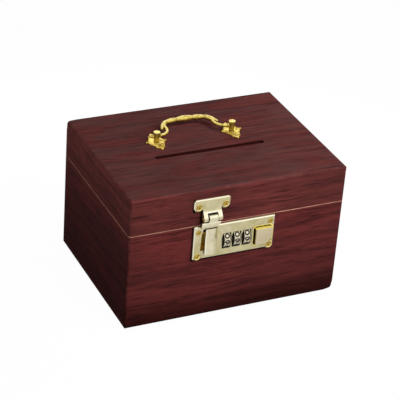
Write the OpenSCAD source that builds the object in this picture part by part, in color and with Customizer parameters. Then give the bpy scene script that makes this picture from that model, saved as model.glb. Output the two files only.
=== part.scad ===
// Wooden donation box: a hinged lid with a coin and note slot, a folding bail handle,
// and a three-dial hasp lock. Millimetres.
// Origin at the centre of the underside, front towards -Y, +Z up. The lid is shut, the
// hasp lever hangs down with its staple in the lock, and the lock's bar is drawn back.

/* [Box] */
// Width of the box, left to right
box_w = 200; // [180:1:260]
// Depth of the box, front to back
box_d = 150; // [130:1:200]
// Height of the closed box
box_h = 125; // [116:1:180]
// Height of the lid, from the seam up
lid_h = 33.5; // [32:0.5:38]
// Thickness of the side boards, the lid's rails and the lid's top board
board_t = 9; // [8.5:0.5:11]
// Thickness of the bottom board
base_t = 6; // [4:0.5:10]
// Radius of the box's outer edges
edge_r = 2.5; // [1:0.5:4]
// Leg of the bare-wood bevel along the body's top outer edge
rim_bevel = 0.7; // [0.4:0.1:1.5]

/* [Donation slot] */
// Length of the slot, end to end
slot_len = 103.4; // [80:0.2:130]
// Width of the slot
slot_w = 4.8; // [4.4:0.2:7]
// Place of the slot's centre, to the right of the box's centre
slot_x = -1; // [-4:0.2:4]
// Place of the slot's centre, behind the box's centre
slot_y = -12.6; // [-18:0.2:-10]

/* [Fits] */
// Gap between pieces that move past each other
run_gap = 0.3; // [0.25:0.05:0.4]
// Radial clearance of a pin or spindle in its bore
pin_gap = 0.05; // [0.03:0.01:0.1]
// Clearance of the lock case in its mortise
mortise_gap = 0.15; // [0.1:0.05:0.3]
// Place of the centre line that the handle and the lock share
fit_x = -4.4; // [-8:0.2:4]

/* [Handle] */
// Distance between the two posts
post_span = 71.6; // [66:0.2:80]
// Place of the posts, behind the box's centre
handle_y = 13.2; // [12:0.2:18]
// Height of a post above the lid
post_h = 10; // [9:0.5:12]
// Radius of a post's shaft
post_r = 2.5; // [2.2:0.1:2.8]
// Radius of a post's head
post_head_r = 3.1; // [2.9:0.1:3.4]
// Height of a post's head
post_head_h = 1.8; // [1.6:0.1:1.9]
// Radius of the spigot that holds a post in the lid
spigot_r = 1.5; // [1.2:0.1:1.8]
// Depth of the spigot in the lid
spigot_depth = 6; // [4:0.5:7]
// Width of a leaf plate, point to point
leaf_w = 19.8; // [18:0.2:22]
// Length of a leaf plate, point to point
leaf_len = 30; // [28:0.5:33]
// Thickness of a leaf plate
leaf_t = 1.3; // [1:0.1:1.6]
// Distance from a post to each screw of its leaf plate
leaf_screw_y = 9; // [8:0.2:10]
// Height of the bail's pivot above the lid
bail_h = 6.2; // [5.8:0.1:6.6]
// Distance from the pivot to the middle of the grip
bail_reach = 23; // [22:0.5:28]
// Radius of the bail's end pins
bail_pin_r = 1.1; // [0.9:0.05:1.2]
// Radius of the bail's wire
wire_r = 1.4; // [1.3:0.1:1.7]
// Radius of the grip's middle lobe
grip_r = 2.95; // [2.6:0.05:3.3]
// Length of the grip's middle lobe
grip_mid_len = 15.6; // [13:0.2:17]
// Length of each side lobe of the grip
grip_side_len = 10; // [9:0.2:11]
// Tilt of each side lobe
grip_side_tilt = 9; // [6:1:12]

/* [Hasp] */
// Distance of the hasp's centre from the left edge of the lock plate
hasp_in = 15.1; // [14.6:0.1:15.6]
// Width of the hasp plate
hasp_w = 33; // [31:0.5:36]
// Height of the hasp plate's top edge above the seam
hasp_top = 25.1; // [24:0.1:27]
// Height of the hasp plate's bar
hasp_bar_h = 9.6; // [8.5:0.1:10.5]
// Thickness of the hasp plate
hasp_t = 2; // [1.6:0.1:2.4]
// Radius of the round ears at the hasp plate's screws
ear_r = 4.4; // [4:0.1:4.6]
// Height of the hasp plate's screws above the seam
hasp_screw_up = 18.2; // [17.6:0.1:18.8]
// Height of the hasp's pivot above the seam
pivot_up = 7.5; // [7.2:0.1:8]
// Distance of the hasp's pivot from the front face
pivot_out = 3.3; // [3.2:0.05:3.5]
// Radius of the hasp's knuckles
knuckle_r = 2.9; // [2.6:0.05:2.95]
// Width across the two outer knuckles
knuckle_w = 16.8; // [16:0.2:18]
// Width of the lever's middle knuckle
mid_knuckle_w = 9; // [8:0.2:9.6]
// Radius of the hasp pin
hasp_pin_r = 1; // [0.8:0.05:1.2]
// Width of the lever's cap
cap_w = 17.2; // [16:0.2:18]
// Height of the lever's cap
cap_h = 5.1; // [4.6:0.1:5.6]
// Distance of the cap's face from the front face
cap_out = 4.8; // [4.6:0.1:5.4]
// Width of the tongue at its foot
tongue_w = 10.4; // [9.4:0.2:11]
// Width of the tongue at its waist
tongue_waist = 8; // [7.6:0.2:8.8]
// Distance of the tongue's foot below the seam
tongue_drop = 27.8; // [27:0.2:29]
// Width of the staple on the lever's back
staple_w = 3; // [2.6:0.1:3.4]
// Height of the staple
staple_h = 9.5; // [9:0.1:10]
// Depth of the staple behind the front face
staple_in = 5.5; // [5.2:0.1:6]
// Thickness of the staple's arms
staple_arm = 2.5; // [2:0.1:2.7]

/* [Lock plate] */
// Width of the lock plate
plate_w = 75; // [75:0.2:78]
// Distance of the dials' axis below the seam
dial_drop = 18.15; // [18:0.05:19]
// Distance from the dials' axis up to the plate's top edge
plate_up = 17.05; // [16.6:0.05:17.4]
// Distance from the dials' axis down to the plate's bottom edge
plate_down = 13.95; // [13.4:0.05:15]
// Distance of the plate's face from the front face
plate_t = 2.5; // [2.3:0.1:2.7]
// Thickness of the plate's skin over the dials
skin_t = 0.9; // [0.7:0.05:1]
// Bevel along the edges of the brass plates
plate_bevel = 0.8; // [0.4:0.1:1]
// Radius of the lobes around the plate's screws
lobe_r = 4; // [3.6:0.1:4.2]
// Distance of the plate's upper screws above the dials' axis
screw_up = 12.1; // [11.9:0.1:12.6]
// Distance of the plate's lower screws below the dials' axis
screw_down = 11.3; // [11:0.1:11.6]
// Distance of the staple's window from the left edge of the lock plate
window_in = 6.3; // [6.2:0.1:6.9]
// Foot of the staple's window, below the dials' axis
window_foot = 5.95; // [5.5:0.05:6.5]

/* [Dials] */
// Radius of a dial
dial_r = 9.5; // [9.2:0.1:9.6]
// Width of a dial
dial_w = 7; // [6.6:0.1:7.2]
// Distance between neighbouring dials
dial_pitch = 9.25; // [9.1:0.05:9.4]
// Place of the middle dial, right of the lock's centre line
dial_mid = 2.3; // [2:0.05:2.4]
// How far a dial stands out of the plate's face
dial_proud = 2.3; // [2.1:0.05:2.4]
// Width of a dial's window
dial_window_w = 8; // [7.8:0.1:8.2]
// Radius of the spindle
spindle_r = 1.5; // [1.2:0.1:1.8]
// Radius of a cam
cam_r = 5; // [4:0.1:6]
// Thickness of a cam
cam_t = 1.4; // [1.2:0.05:1.6]

/* [Slide button] */
// Width of the button
button_w = 15; // [14:0.1:15]
// Height of the button
button_h = 15.3; // [14.6:0.1:15.5]
// How far the button stands out of the plate's face
button_proud = 3.1; // [2.6:0.1:4]
// Place of the button's centre, right of the lock's centre line
button_x = 27.1; // [26.9:0.1:27.2]
// Place of the button's centre, below the dials' axis
button_down = 0.9; // [0.7:0.1:1.1]
// Travel of the button and the bar, to the left
bar_travel = 1.5; // [1.2:0.1:1.6]
// Gap above the button in its opening
button_top_gap = 2.1; // [1.6:0.1:2.3]
// Thickness of the bar
bar_t = 1.2; // [1:0.05:1.3]

/* [Lock case] */
// Depth of the lock case beside the dials
case_depth = 8.8; // [8.6:0.1:9]
// Wall of the lock case
case_wall = 0.8; // [0.6:0.05:1]

/* [Hinges] */
// Distance of each hinge's middle from the side of the box
hinge_in = 38; // [26:1:48]
// Width of a hinge
hinge_w = 26; // [22:1:30]
// Height of a hinge leaf, from the pin's axis
hinge_leaf_h = 14; // [13:0.5:16]
// Thickness of a hinge leaf
hinge_leaf_t = 1; // [0.8:0.05:1.2]
// Radius of a hinge barrel
barrel_r = 2; // [1.8:0.05:2.3]
// Radius of a hinge pin
hinge_pin_r = 1; // [0.8:0.05:1.2]

/* [Screws] */
// Radius of the screws' shanks
screw_r = 0.9; // [0.8:0.05:1]
// Radius of the screws' heads
head_r = 2; // [1.8:0.05:2.1]
// Length of a screw in the wood
screw_bite = 6.5; // [5:0.5:7]

/* [Hidden] */
$fn = 48;

wood = "#5e2b2a";
brass = "#d8c873";
champagne = "#cdc79c";
steel = "#9a9a96";
zinc = "#86857f";

// Overshoot of a cutter past the face that it opens
cut = 1;

// Box: inner faces and the two levels that everything else is placed from
in_x = box_w / 2 - board_t;
in_y = box_d / 2 - board_t;
seam_z = box_h - lid_h;
lid_in_z = box_h - board_t;

// Screws
head_h = head_r - screw_r;
head_dome = 0.35;
cross_w = 0.5;
cross_deep = 0.6;
pin_head_t = 0.6;
pin_head_lip = 0.5;

// Handle
post_x = [fit_x - post_span / 2, fit_x + post_span / 2];
bail_z = box_h + bail_h;
side_bead_r = 1.2;
point_bead_r = 1.6;
shoulder_bead_r = 0.9;
boss_r = post_r + 1.4;
boss_t = 0.5;

// Bail: end pins and collars, bent wire, and the grip's side lobes and scrolls
collar_r = 1.7;
collar_t = 1;
pin_x = post_span / 2 - post_r - run_gap - collar_t;
pin_short = 0.4;
pin_len = collar_t + run_gap + 2 * post_r - pin_short;
bend_r = 9.5;
grip_waist_r = 1.9;
side_lobe_r = grip_r * 0.82;
scroll_len = 15;
scroll_tilt = 50;
scroll_r = grip_r * 0.72;
scroll_end_r = wire_r * 0.55;
scroll_ball_r = wire_r * 0.85;
lap = 1;

// Hasp, in the front frame: X right, Y up from the underside, Z out of the front face
hasp_x = hasp_in - plate_w / 2;
pivot_z = seam_z + pivot_up;
hasp_bar_z = seam_z + hasp_top - hasp_bar_h / 2;
hasp_screw_dx = hasp_w / 2 - ear_r;
hasp_screw_z = seam_z + hasp_screw_up;
hasp_corner_r = 2.4;
neck_room = 1.9;
neck_over = 1.1;
neck_face = 0.8;
neck_foot = 0.6;
neck_rise = 2.8;
slot_top_z = pivot_z + knuckle_r + neck_room;
lever_back = plate_t + run_gap;
cap_drop = 1.1;
cap_top_z = pivot_z - knuckle_r - cap_drop;
cap_foot_z = cap_top_z - cap_h;
tongue_foot_z = seam_z - tongue_drop;
cap_bevel = 0.6;

// Lock, in the front frame
dial_z = seam_z - dial_drop;
axis_out = plate_t + dial_proud - dial_r;
staple_up = 3.9;
staple_z = dial_z + staple_up;
window_play = 0.5;
window_left = plate_w / 2 - window_in;
window_right = 2.5;
window_top = 2.4;
plate_screw_x = plate_w / 2 - lobe_r;
dial_xs = [dial_mid - dial_pitch, dial_mid, dial_mid + dial_pitch];
button_left = button_x - button_w / 2;
button_foot = -button_down - button_h / 2;
button_relief_r = 5.2;
button_foot_gap = run_gap + 0.2;
button_corner = 1.4;
low_corner = button_corner + 0.3;
top_corner = 1.9;
rim_w = 1.3;
rim_h = 0.4;

// Lock case: dial_room encloses the dials and cams, bar_room the bar, wide_room the rest
wall_gap = run_gap + 0.1;
dial_room_x = [
    dial_xs[0] - dial_w / 2 - wall_gap,
    dial_xs[2] + dial_w / 2 + cam_t + wall_gap
];
dial_room_r = dial_r + wall_gap;
click_gap = 0.8;
dial_room_in = axis_out - dial_room_r - click_gap;
bar_low = dial_r + run_gap;
bar_high = bar_low + bar_t;
bar_front = -run_gap;
bar_deep = 3.7;
bar_back = bar_front - bar_deep;
arm_t = 2.8;
arm_right = dial_room_x[0] - case_wall - run_gap;
arm_left = arm_right - arm_t;
catch_deep = 2.7;
catch_back = bar_front - catch_deep;
catch_h = 3.5;
catch_low = staple_up - catch_h / 2;
catch_high = staple_up + catch_h / 2;
catch_tip = hasp_x + staple_w / 2 + run_gap;
rivet_in = 4.75;
rivet_x = button_left + rivet_in;
rivet_r = 1.3;
rivet_head_t = 0.5;
shoulder_r = rivet_r + 1;
push_arm_w = 4.4;
push_arm = [rivet_x - push_arm_w / 2, rivet_x + push_arm_w / 2];
push_arm_foot = -button_down - 3;
push_arm_out = bar_front - 1.8;
push_arm_t = 1.5;
room_gap = 0.1;
room_side = 1.2;
bar_room_x = [arm_left - bar_travel - run_gap, push_arm[1] + run_gap];
wide_room_x = [-window_left - room_gap, push_arm[1] + room_side];
wide_room_y = [-window_foot - window_play, dial_r - room_gap];

// Hinges
hinge_x = box_w / 2 - hinge_in;
hinge_off = barrel_r + run_gap;
leaf_start = barrel_r + run_gap;
knuckle_len = (hinge_w - 2 * run_gap) / 3;
hinge_screw_side = 4.5;
hinge_screw_end = 4;
hinge_screw_dx = hinge_w / 2 - hinge_screw_side;
hinge_screw_z = hinge_leaf_h - hinge_screw_end;

// ---------- shared shapes ----------

// A box between two opposite corners
module box_between(lo, hi) {
    translate(lo) cube([hi[0] - lo[0], hi[1] - lo[1], hi[2] - lo[2]]);
}

// A rectangle with round corners, centred
module round_rect(w, h, r) {
    square([w - 2 * r, h], center = true);
    square([w, h - 2 * r], center = true);
    for (sx = [-1, 1], sy = [-1, 1]) {
        translate([sx * (w / 2 - r), sy * (h / 2 - r)]) circle(r = r);
    }
}

// Draws in the front frame: X right from the fittings' centre line, Y up, Z out of the front
module front_frame() {
    translate([fit_x, -box_d / 2, 0]) rotate([90, 0, 0]) children();
}

// Extrudes a side profile, drawn as [out, up], across a width
module across(w) {
    rotate([0, -90, 0]) linear_extrude(height = w, center = true) children();
}

// A round bar along X, centred
module rod(r, len) {
    rotate([0, 90, 0]) cylinder(r = r, h = len, center = true);
}

// The side profile of a slab whose front edges are bevelled
module bevel_profile(h, t, b) {
    polygon([[0, -h / 2], [t - b, -h / 2], [t, b - h / 2], [t, h / 2 - b], [t - b, h / 2], [0, h / 2]]);
}

// A slab, centred, with its front edges bevelled
module bevel_slab(w, h, t, b) {
    intersection() {
        across(w) bevel_profile(h, t, b);
        rotate([0, 0, 90]) across(h) bevel_profile(w, t, b);
    }
}

// A round slab with its front edge bevelled
module bevel_disc(r, t, b) {
    cylinder(r = r, h = t - b);
    translate([0, 0, t - b]) cylinder(r1 = r, r2 = r - b, h = b);
}

// A countersunk screw with its head's rim at Z = 0, pointing down
module screw(bite, plate) {
    difference() {
        union() {
            translate([0, 0, -head_h]) cylinder(r1 = screw_r, r2 = head_r, h = head_h);
            translate([0, 0, -plate - bite]) cylinder(r = screw_r, h = bite + plate);
            cylinder(r1 = head_r, r2 = head_r - head_dome, h = head_dome);
        }
        for (turn = [0, 90]) {
            rotate([0, 0, turn]) {
                translate([0, 0, head_dome]) cube([head_r * 1.3, cross_w, 2 * cross_deep], center = true);
            }
        }
    }
}

// The hole for that screw: countersunk through the plate, then the bite in the wood
module screw_hole(bite, plate) {
    translate([0, 0, -head_h]) {
        cylinder(r1 = screw_r + pin_gap, r2 = head_r + pin_gap, h = head_h + pin_gap);
    }
    translate([0, 0, -plate - bite - pin_gap]) {
        cylinder(r = screw_r + pin_gap, h = bite + plate + pin_gap);
    }
    cylinder(r = head_r + pin_gap, h = cut);
}

// ---------- the box ----------

// The whole closed box as one block with round edges
module outer_block() {
    intersection() {
        linear_extrude(height = box_h) round_rect(box_w, box_d, edge_r);
        translate([0, 0, box_h / 2]) rotate([90, 0, 0]) {
            linear_extrude(height = box_d, center = true) round_rect(box_w, box_h, edge_r);
        }
        translate([0, 0, box_h / 2]) rotate([90, 0, 90]) {
            linear_extrude(height = box_w, center = true) round_rect(box_d, box_h, edge_r);
        }
    }
}

// One board of the box: its stretch of the round-edged block
module board(lo, hi) {
    intersection() {
        outer_block();
        box_between(lo, hi);
    }
}

// Cutters for the bare bevel around the body's rim
module rim_bevels() {
    side = rim_bevel * sqrt(2);
    for (s = [-1, 1]) {
        translate([0, s * box_d / 2, seam_z]) {
            rotate([45, 0, 0]) cube([box_w + 2 * cut, side, side], center = true);
        }
        translate([s * box_w / 2, 0, seam_z]) {
            rotate([0, 45, 0]) cube([side, box_d + 2 * cut, side], center = true);
        }
    }
}

module base_board() {
    color(wood) box_between([-in_x, -in_y, 0], [in_x, in_y, base_t]);
}

module front_board() {
    color(wood) difference() {
        board([-box_w / 2, -box_d / 2, 0], [box_w / 2, -in_y, seam_z]);
        rim_bevels();
        front_frame() {
            translate([0, dial_z, 0]) case_outline(mortise_gap, cut, board_t + cut);
            staple_channel();
            lock_screw_places() screw_hole(screw_bite, plate_t);
        }
    }
}

module back_board() {
    color(wood) difference() {
        board([-box_w / 2, in_y, 0], [box_w / 2, box_d / 2, seam_z]);
        rim_bevels();
        hinge_screw_places(-1) screw_hole(screw_bite, hinge_leaf_t);
    }
}

module side_board(s) {
    color(wood) difference() {
        board([min(s * in_x, s * box_w / 2), -in_y, 0], [max(s * in_x, s * box_w / 2), in_y, seam_z]);
        rim_bevels();
    }
}

module left_board() { side_board(-1); }
module right_board() { side_board(1); }

// ---------- the lid ----------

module lid_top_board() {
    color(wood) difference() {
        board([-box_w / 2, -box_d / 2, lid_in_z], [box_w / 2, box_d / 2, box_h]);
        translate([slot_x, slot_y, lid_in_z - cut]) {
            linear_extrude(height = board_t + 2 * cut) {
                square([slot_len - slot_w, slot_w], center = true);
                for (s = [-1, 1]) {
                    translate([s * (slot_len - slot_w) / 2, 0]) circle(d = slot_w);
                }
            }
        }
        for (x = post_x) {
            translate([x, handle_y, box_h - spigot_depth - pin_gap]) {
                cylinder(r = spigot_r + pin_gap, h = spigot_depth + cut);
            }
        }
        leaf_screw_places() screw_hole(screw_bite, leaf_t);
    }
}

module lid_front_rail() {
    color(wood) difference() {
        board([-box_w / 2, -box_d / 2, seam_z], [box_w / 2, -in_y, lid_in_z]);
        front_frame() hasp_screw_places() screw_hole(screw_bite, hasp_t);
    }
}

module lid_back_rail() {
    color(wood) difference() {
        board([-box_w / 2, in_y, seam_z], [box_w / 2, box_d / 2, lid_in_z]);
        hinge_screw_places(1) screw_hole(screw_bite, hinge_leaf_t);
    }
}

module lid_side_rail(s) {
    color(wood) {
        board(
            [min(s * in_x, s * box_w / 2), -in_y, seam_z],
            [max(s * in_x, s * box_w / 2), in_y, lid_in_z]
        );
    }
}

module lid_left_rail() { lid_side_rail(-1); }
module lid_right_rail() { lid_side_rail(1); }

// ---------- the hinges ----------

// Puts a hinge's pieces at the left (-1) or right (1), with the pin's axis at the origin
module hinge_place(s) {
    translate([s * hinge_x, box_d / 2 + hinge_off, seam_z]) children();
}

// The screws of the lid's leaves (up = 1) or the body's (up = -1), at the leaves' outer face
module hinge_screw_places(up) {
    for (s = [-1, 1], dx = [-hinge_screw_dx, hinge_screw_dx]) {
        hinge_place(s) {
            translate([dx, hinge_leaf_t - hinge_off, up * hinge_screw_z]) rotate([-90, 0, 0]) children();
        }
    }
}

// One leaf with its knuckles, each given by the place of its middle
module hinge_leaf(up, knuckles) {
    difference() {
        union() {
            box_between(
                [-hinge_w / 2, -hinge_off, min(up * leaf_start, up * hinge_leaf_h)],
                [hinge_w / 2, hinge_leaf_t - hinge_off, max(up * leaf_start, up * hinge_leaf_h)]
            );
            for (x = knuckles) {
                translate([x, 0, 0]) rod(barrel_r, knuckle_len);
                box_between(
                    [x - knuckle_len / 2, -hinge_off, min(0, up * leaf_start)],
                    [x + knuckle_len / 2, hinge_leaf_t - hinge_off, max(0, up * leaf_start)]
                );
            }
        }
        rod(hinge_pin_r + pin_gap, hinge_w + 2 * cut);
        for (dx = [-hinge_screw_dx, hinge_screw_dx]) {
            translate([dx, hinge_leaf_t - hinge_off, up * hinge_screw_z]) {
                rotate([-90, 0, 0]) screw_hole(0, hinge_leaf_t + cut);
            }
        }
    }
}

// The pin, with a peened head past each end of the barrel
module hinge_pin() {
    rod(hinge_pin_r, hinge_w);
    for (s = [-1, 1]) {
        translate([s * (hinge_w + pin_head_t) / 2, 0, 0]) rod(hinge_pin_r + pin_head_lip, pin_head_t);
    }
}

outer_knuckles = [-knuckle_len - run_gap, knuckle_len + run_gap];
module left_hinge_body_leaf() { color(brass) hinge_place(-1) hinge_leaf(-1, outer_knuckles); }
module left_hinge_lid_leaf() { color(brass) hinge_place(-1) hinge_leaf(1, [0]); }
module left_hinge_pin() { color(steel) hinge_place(-1) hinge_pin(); }
module right_hinge_body_leaf() { color(brass) hinge_place(1) hinge_leaf(-1, outer_knuckles); }
module right_hinge_lid_leaf() { color(brass) hinge_place(1) hinge_leaf(1, [0]); }
module right_hinge_pin() { color(steel) hinge_place(1) hinge_pin(); }
module body_hinge_screws() { color(brass) hinge_screw_places(-1) screw(screw_bite, hinge_leaf_t); }
module lid_hinge_screws() { color(brass) hinge_screw_places(1) screw(screw_bite, hinge_leaf_t); }

// ---------- the handle ----------

// The two screws of each leaf plate, at the plate's top
module leaf_screw_places() {
    for (x = post_x, s = [-1, 1]) {
        translate([x, handle_y + s * leaf_screw_y, box_h + leaf_t]) children();
    }
}

// A long diamond plate with beaded corners, a shouldered point at each end, and a boss
module leaf_plate(x) {
    half_w = leaf_w / 2 - side_bead_r;
    half_len = leaf_len / 2;
    shoulder_x = half_w * 0.38;
    shoulder_y = half_len * 0.68;
    color(brass) difference() {
        translate([x, handle_y, box_h]) {
            linear_extrude(height = leaf_t) {
                polygon([
                    [half_w, 0], [shoulder_x, shoulder_y], [0, half_len], [-shoulder_x, shoulder_y],
                    [-half_w, 0], [-shoulder_x, -shoulder_y], [0, -half_len], [shoulder_x, -shoulder_y]
                ]);
                for (s = [-1, 1]) {
                    translate([s * half_w, 0]) circle(r = side_bead_r);
                    translate([0, s * (half_len - 2 * point_bead_r)]) circle(r = point_bead_r);
                    for (t = [-1, 1]) {
                        translate([s * shoulder_x, t * shoulder_y]) circle(r = shoulder_bead_r);
                    }
                }
            }
            cylinder(r = boss_r, h = leaf_t + boss_t);
        }
        translate([x, handle_y, box_h - cut]) cylinder(r = spigot_r + pin_gap, h = leaf_t + 3 * cut);
        leaf_screw_places() screw_hole(0, leaf_t + cut);
    }
}

// A post: eight-sided head, round shaft, spigot into the lid, and a cross bore for the bail
module post(x) {
    foot = box_h + leaf_t + boss_t;
    color(brass) difference() {
        translate([x, handle_y, 0]) {
            translate([0, 0, box_h - spigot_depth]) cylinder(r = spigot_r, h = spigot_depth + leaf_t + cut);
            translate([0, 0, foot]) cylinder(r = post_r, h = box_h + post_h - foot);
            translate([0, 0, box_h + post_h - post_head_h]) {
                cylinder(r = post_head_r, h = post_head_h, $fn = 8);
            }
        }
        translate([x, handle_y, bail_z]) rod(bail_pin_r + pin_gap, 2 * post_head_r + cut);
    }
}

module left_leaf_plate() { leaf_plate(post_x[0]); }
module right_leaf_plate() { leaf_plate(post_x[1]); }
module left_post() { post(post_x[0]); }
module right_post() { post(post_x[1]); }
module leaf_plate_screws() { color(brass) leaf_screw_places() screw(screw_bite, leaf_t); }

// A spindle-shaped lobe along X, centred: an arc from end_r up to mid_r, turned about X
module lobe(len, mid_r, end_r) {
    rise = mid_r - end_r;
    arc_r = (len * len / 4 + rise * rise) / (2 * rise);
    rotate([0, 90, 0]) rotate_extrude() {
        intersection() {
            translate([mid_r - arc_r, 0]) circle(r = arc_r, $fn = 240);
            translate([0, -len / 2]) square([mid_r + cut, len]);
        }
    }
}

// Half of the bail, to the right of its middle, lying flat in XY with the pivot's axis on X
module half_bail() {
    side_x = grip_mid_len / 2 + grip_side_len / 2 * cos(grip_side_tilt);
    side_y = bail_reach - grip_side_len / 2 * sin(grip_side_tilt);
    side_end_x = side_x + grip_side_len / 2 * cos(grip_side_tilt);
    side_end_y = side_y - grip_side_len / 2 * sin(grip_side_tilt);
    scroll_x = side_end_x + scroll_len / 2 * cos(scroll_tilt) - lap;
    scroll_y = side_end_y - scroll_len / 2 * sin(scroll_tilt) + lap;
    translate([side_x, side_y, 0]) rotate([0, 0, -grip_side_tilt]) {
        lobe(grip_side_len, side_lobe_r, grip_waist_r);
    }
    translate([scroll_x, scroll_y, 0]) rotate([0, 0, -scroll_tilt]) {
        lobe(scroll_len, scroll_r, scroll_end_r);
        translate([(scroll_len - scroll_ball_r) / 2, 0, 0]) sphere(r = scroll_ball_r);
    }
    translate([pin_x - bend_r, bend_r, 0]) rotate([-90, 0, 0]) {
        cylinder(r = wire_r, h = scroll_y - bend_r + lap);
    }
    translate([pin_x, bend_r, 0]) rotate([0, 0, 180]) {
        rotate_extrude(angle = 90) translate([bend_r, 0]) circle(r = wire_r);
    }
    translate([pin_x + collar_t / 2, 0, 0]) rod(collar_r, collar_t);
    translate([pin_x, 0, 0]) rotate([0, 90, 0]) {
        cylinder(r = bail_pin_r, h = pin_len);
    }
}

module bail() {
    color(brass) translate([fit_x, handle_y, bail_z]) {
        translate([0, bail_reach, 0]) lobe(grip_mid_len, grip_r, grip_waist_r);
        half_bail();
        mirror([1, 0, 0]) half_bail();
    }
}

// ---------- the hasp ----------

module hasp_screw_places() {
    for (s = [-1, 1]) {
        translate([hasp_x + s * hasp_screw_dx, hasp_screw_z, hasp_t]) children();
    }
}

// Plate on the lid, its neck curling out to two knuckles
module hasp_plate() {
    slot_w2 = mid_knuckle_w + 2 * run_gap;
    color(champagne) front_frame() difference() {
        union() {
            translate([hasp_x, hasp_bar_z, 0]) intersection() {
                bevel_slab(hasp_w, hasp_bar_h, hasp_t, plate_bevel);
                linear_extrude(height = hasp_t) round_rect(hasp_w, hasp_bar_h, hasp_corner_r);
            }
            for (s = [-1, 1]) {
                translate([hasp_x + s * hasp_screw_dx, hasp_screw_z, 0]) {
                    bevel_disc(ear_r, hasp_t, plate_bevel);
                }
            }
            translate([hasp_x, 0, 0]) across(knuckle_w) {
                translate([pivot_out, pivot_z]) circle(r = knuckle_r);
                polygon([
                    [0, hasp_bar_z], [0, slot_top_z + lap], [pivot_out - knuckle_r, slot_top_z],
                    [pivot_out - knuckle_r, pivot_z], [pivot_out, pivot_z],
                    [pivot_out + knuckle_r * sin(45), pivot_z + knuckle_r * cos(45)],
                    [pivot_out + neck_face, pivot_z + knuckle_r + neck_over],
                    [hasp_t + neck_foot, slot_top_z + neck_over], [hasp_t, slot_top_z + neck_rise],
                    [hasp_t, hasp_bar_z]
                ]);
            }
        }
        translate([hasp_x, pivot_z, pivot_out]) rod(hasp_pin_r + pin_gap, knuckle_w + cut);
        box_between(
            [hasp_x - slot_w2 / 2, pivot_z - knuckle_r - cut, -cut],
            [hasp_x + slot_w2 / 2, slot_top_z, pivot_out + knuckle_r + cut]
        );
        hasp_screw_places() screw_hole(0, hasp_t + cut);
    }
}

module hasp_pin() {
    color(brass) front_frame() translate([hasp_x, pivot_z, pivot_out]) {
        rod(hasp_pin_r, knuckle_w);
        for (s = [-1, 1]) {
            translate([s * (knuckle_w + pin_head_t) / 2, 0, 0]) rod(hasp_pin_r + pin_head_lip, pin_head_t);
        }
    }
}

// Lever: middle knuckle, cap, waisted and scooped tongue, and the staple on its back
module hasp_lever() {
    color(champagne) front_frame() translate([hasp_x, 0, 0]) {
        difference() {
            union() {
                translate([0, pivot_z, pivot_out]) rod(knuckle_r, mid_knuckle_w);
                across(mid_knuckle_w) polygon([
                    [lever_back, cap_top_z - cut], [lever_back, pivot_z],
                    [pivot_out + knuckle_r, pivot_z], [cap_out - cap_bevel, cap_top_z - cut]
                ]);
            }
            translate([0, pivot_z, pivot_out]) rod(hasp_pin_r + pin_gap, mid_knuckle_w + cut);
        }
        lever_cap();
        lever_tongue();
        staple();
    }
}

// The cap: a bevelled bar set a little to the left, its lower right corner cut away aslant
module lever_cap() {
    left_cut = 0.8;
    right_cut = 4;
    aside = 0.7;
    left = -cap_w / 2;
    right = cap_w / 2;
    translate([-aside, 0, lever_back]) intersection() {
        translate([0, cap_top_z - cap_h / 2, 0]) {
            bevel_slab(cap_w, cap_h, cap_out - lever_back, cap_bevel);
        }
        linear_extrude(height = cap_out) polygon([
            [left, cap_top_z], [left, cap_foot_z + left_cut], [left + left_cut, cap_foot_z],
            [right - right_cut, cap_foot_z], [right, cap_foot_z + right_cut], [right, cap_top_z]
        ]);
    }
}

// The tongue: a waist in its right edge, and a long scoop in its face above a lip
module lever_tongue() {
    foot_out = 4.8;
    top_out = 4.4;
    scoop_out = 4;
    lip = 1.6;
    scoop_r = 60;
    waist_r = 9;
    waist_drop = 6.5;
    corner_r = 1.2;
    length = cap_foot_z - tongue_foot_z;
    intersection() {
        translate([0, 0, lever_back]) linear_extrude(height = foot_out) difference() {
            translate([0, tongue_foot_z + length / 2 + lap]) {
                round_rect(tongue_w, length + 2 * lap, corner_r);
            }
            translate([tongue_waist - tongue_w / 2 + waist_r, cap_foot_z - waist_drop]) {
                circle(r = waist_r, $fn = 120);
            }
        }
        across(tongue_w + 2 * cut) difference() {
            polygon([
                [lever_back, tongue_foot_z], [foot_out, tongue_foot_z], [foot_out, tongue_foot_z + lip],
                [top_out, cap_foot_z + cut], [lever_back, cap_foot_z + cut]
            ]);
            translate([scoop_out + scoop_r, tongue_foot_z + length / 2]) circle(r = scoop_r, $fn = 240);
        }
    }
}

// The staple: a loop on edge, its hole across the box for the bar's catch
module staple() {
    low = staple_z - staple_h / 2;
    high = staple_z + staple_h / 2;
    difference() {
        box_between([-staple_w / 2, low, -staple_in], [staple_w / 2, high, lever_back + cut]);
        box_between(
            [-staple_w, low + staple_arm, catch_back - window_play],
            [staple_w, high - staple_arm, bar_front + window_play]
        );
    }
}

module hasp_screws() {
    color(brass) front_frame() hasp_screw_places() screw(screw_bite, hasp_t);
}

// ---------- the lock ----------

module lock_screw_places() {
    for (s = [-1, 1], up = [screw_up, -screw_down]) {
        translate([s * plate_screw_x, dial_z + up, plate_t]) children();
    }
}

// The way that the staple takes up and out of the lock as the lid lifts
module staple_channel() {
    half = staple_w / 2 + window_play;
    box_between(
        [hasp_x - half, dial_z, -staple_in - window_play],
        [hasp_x + half, seam_z + cut, plate_t + cut]
    );
}

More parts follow.
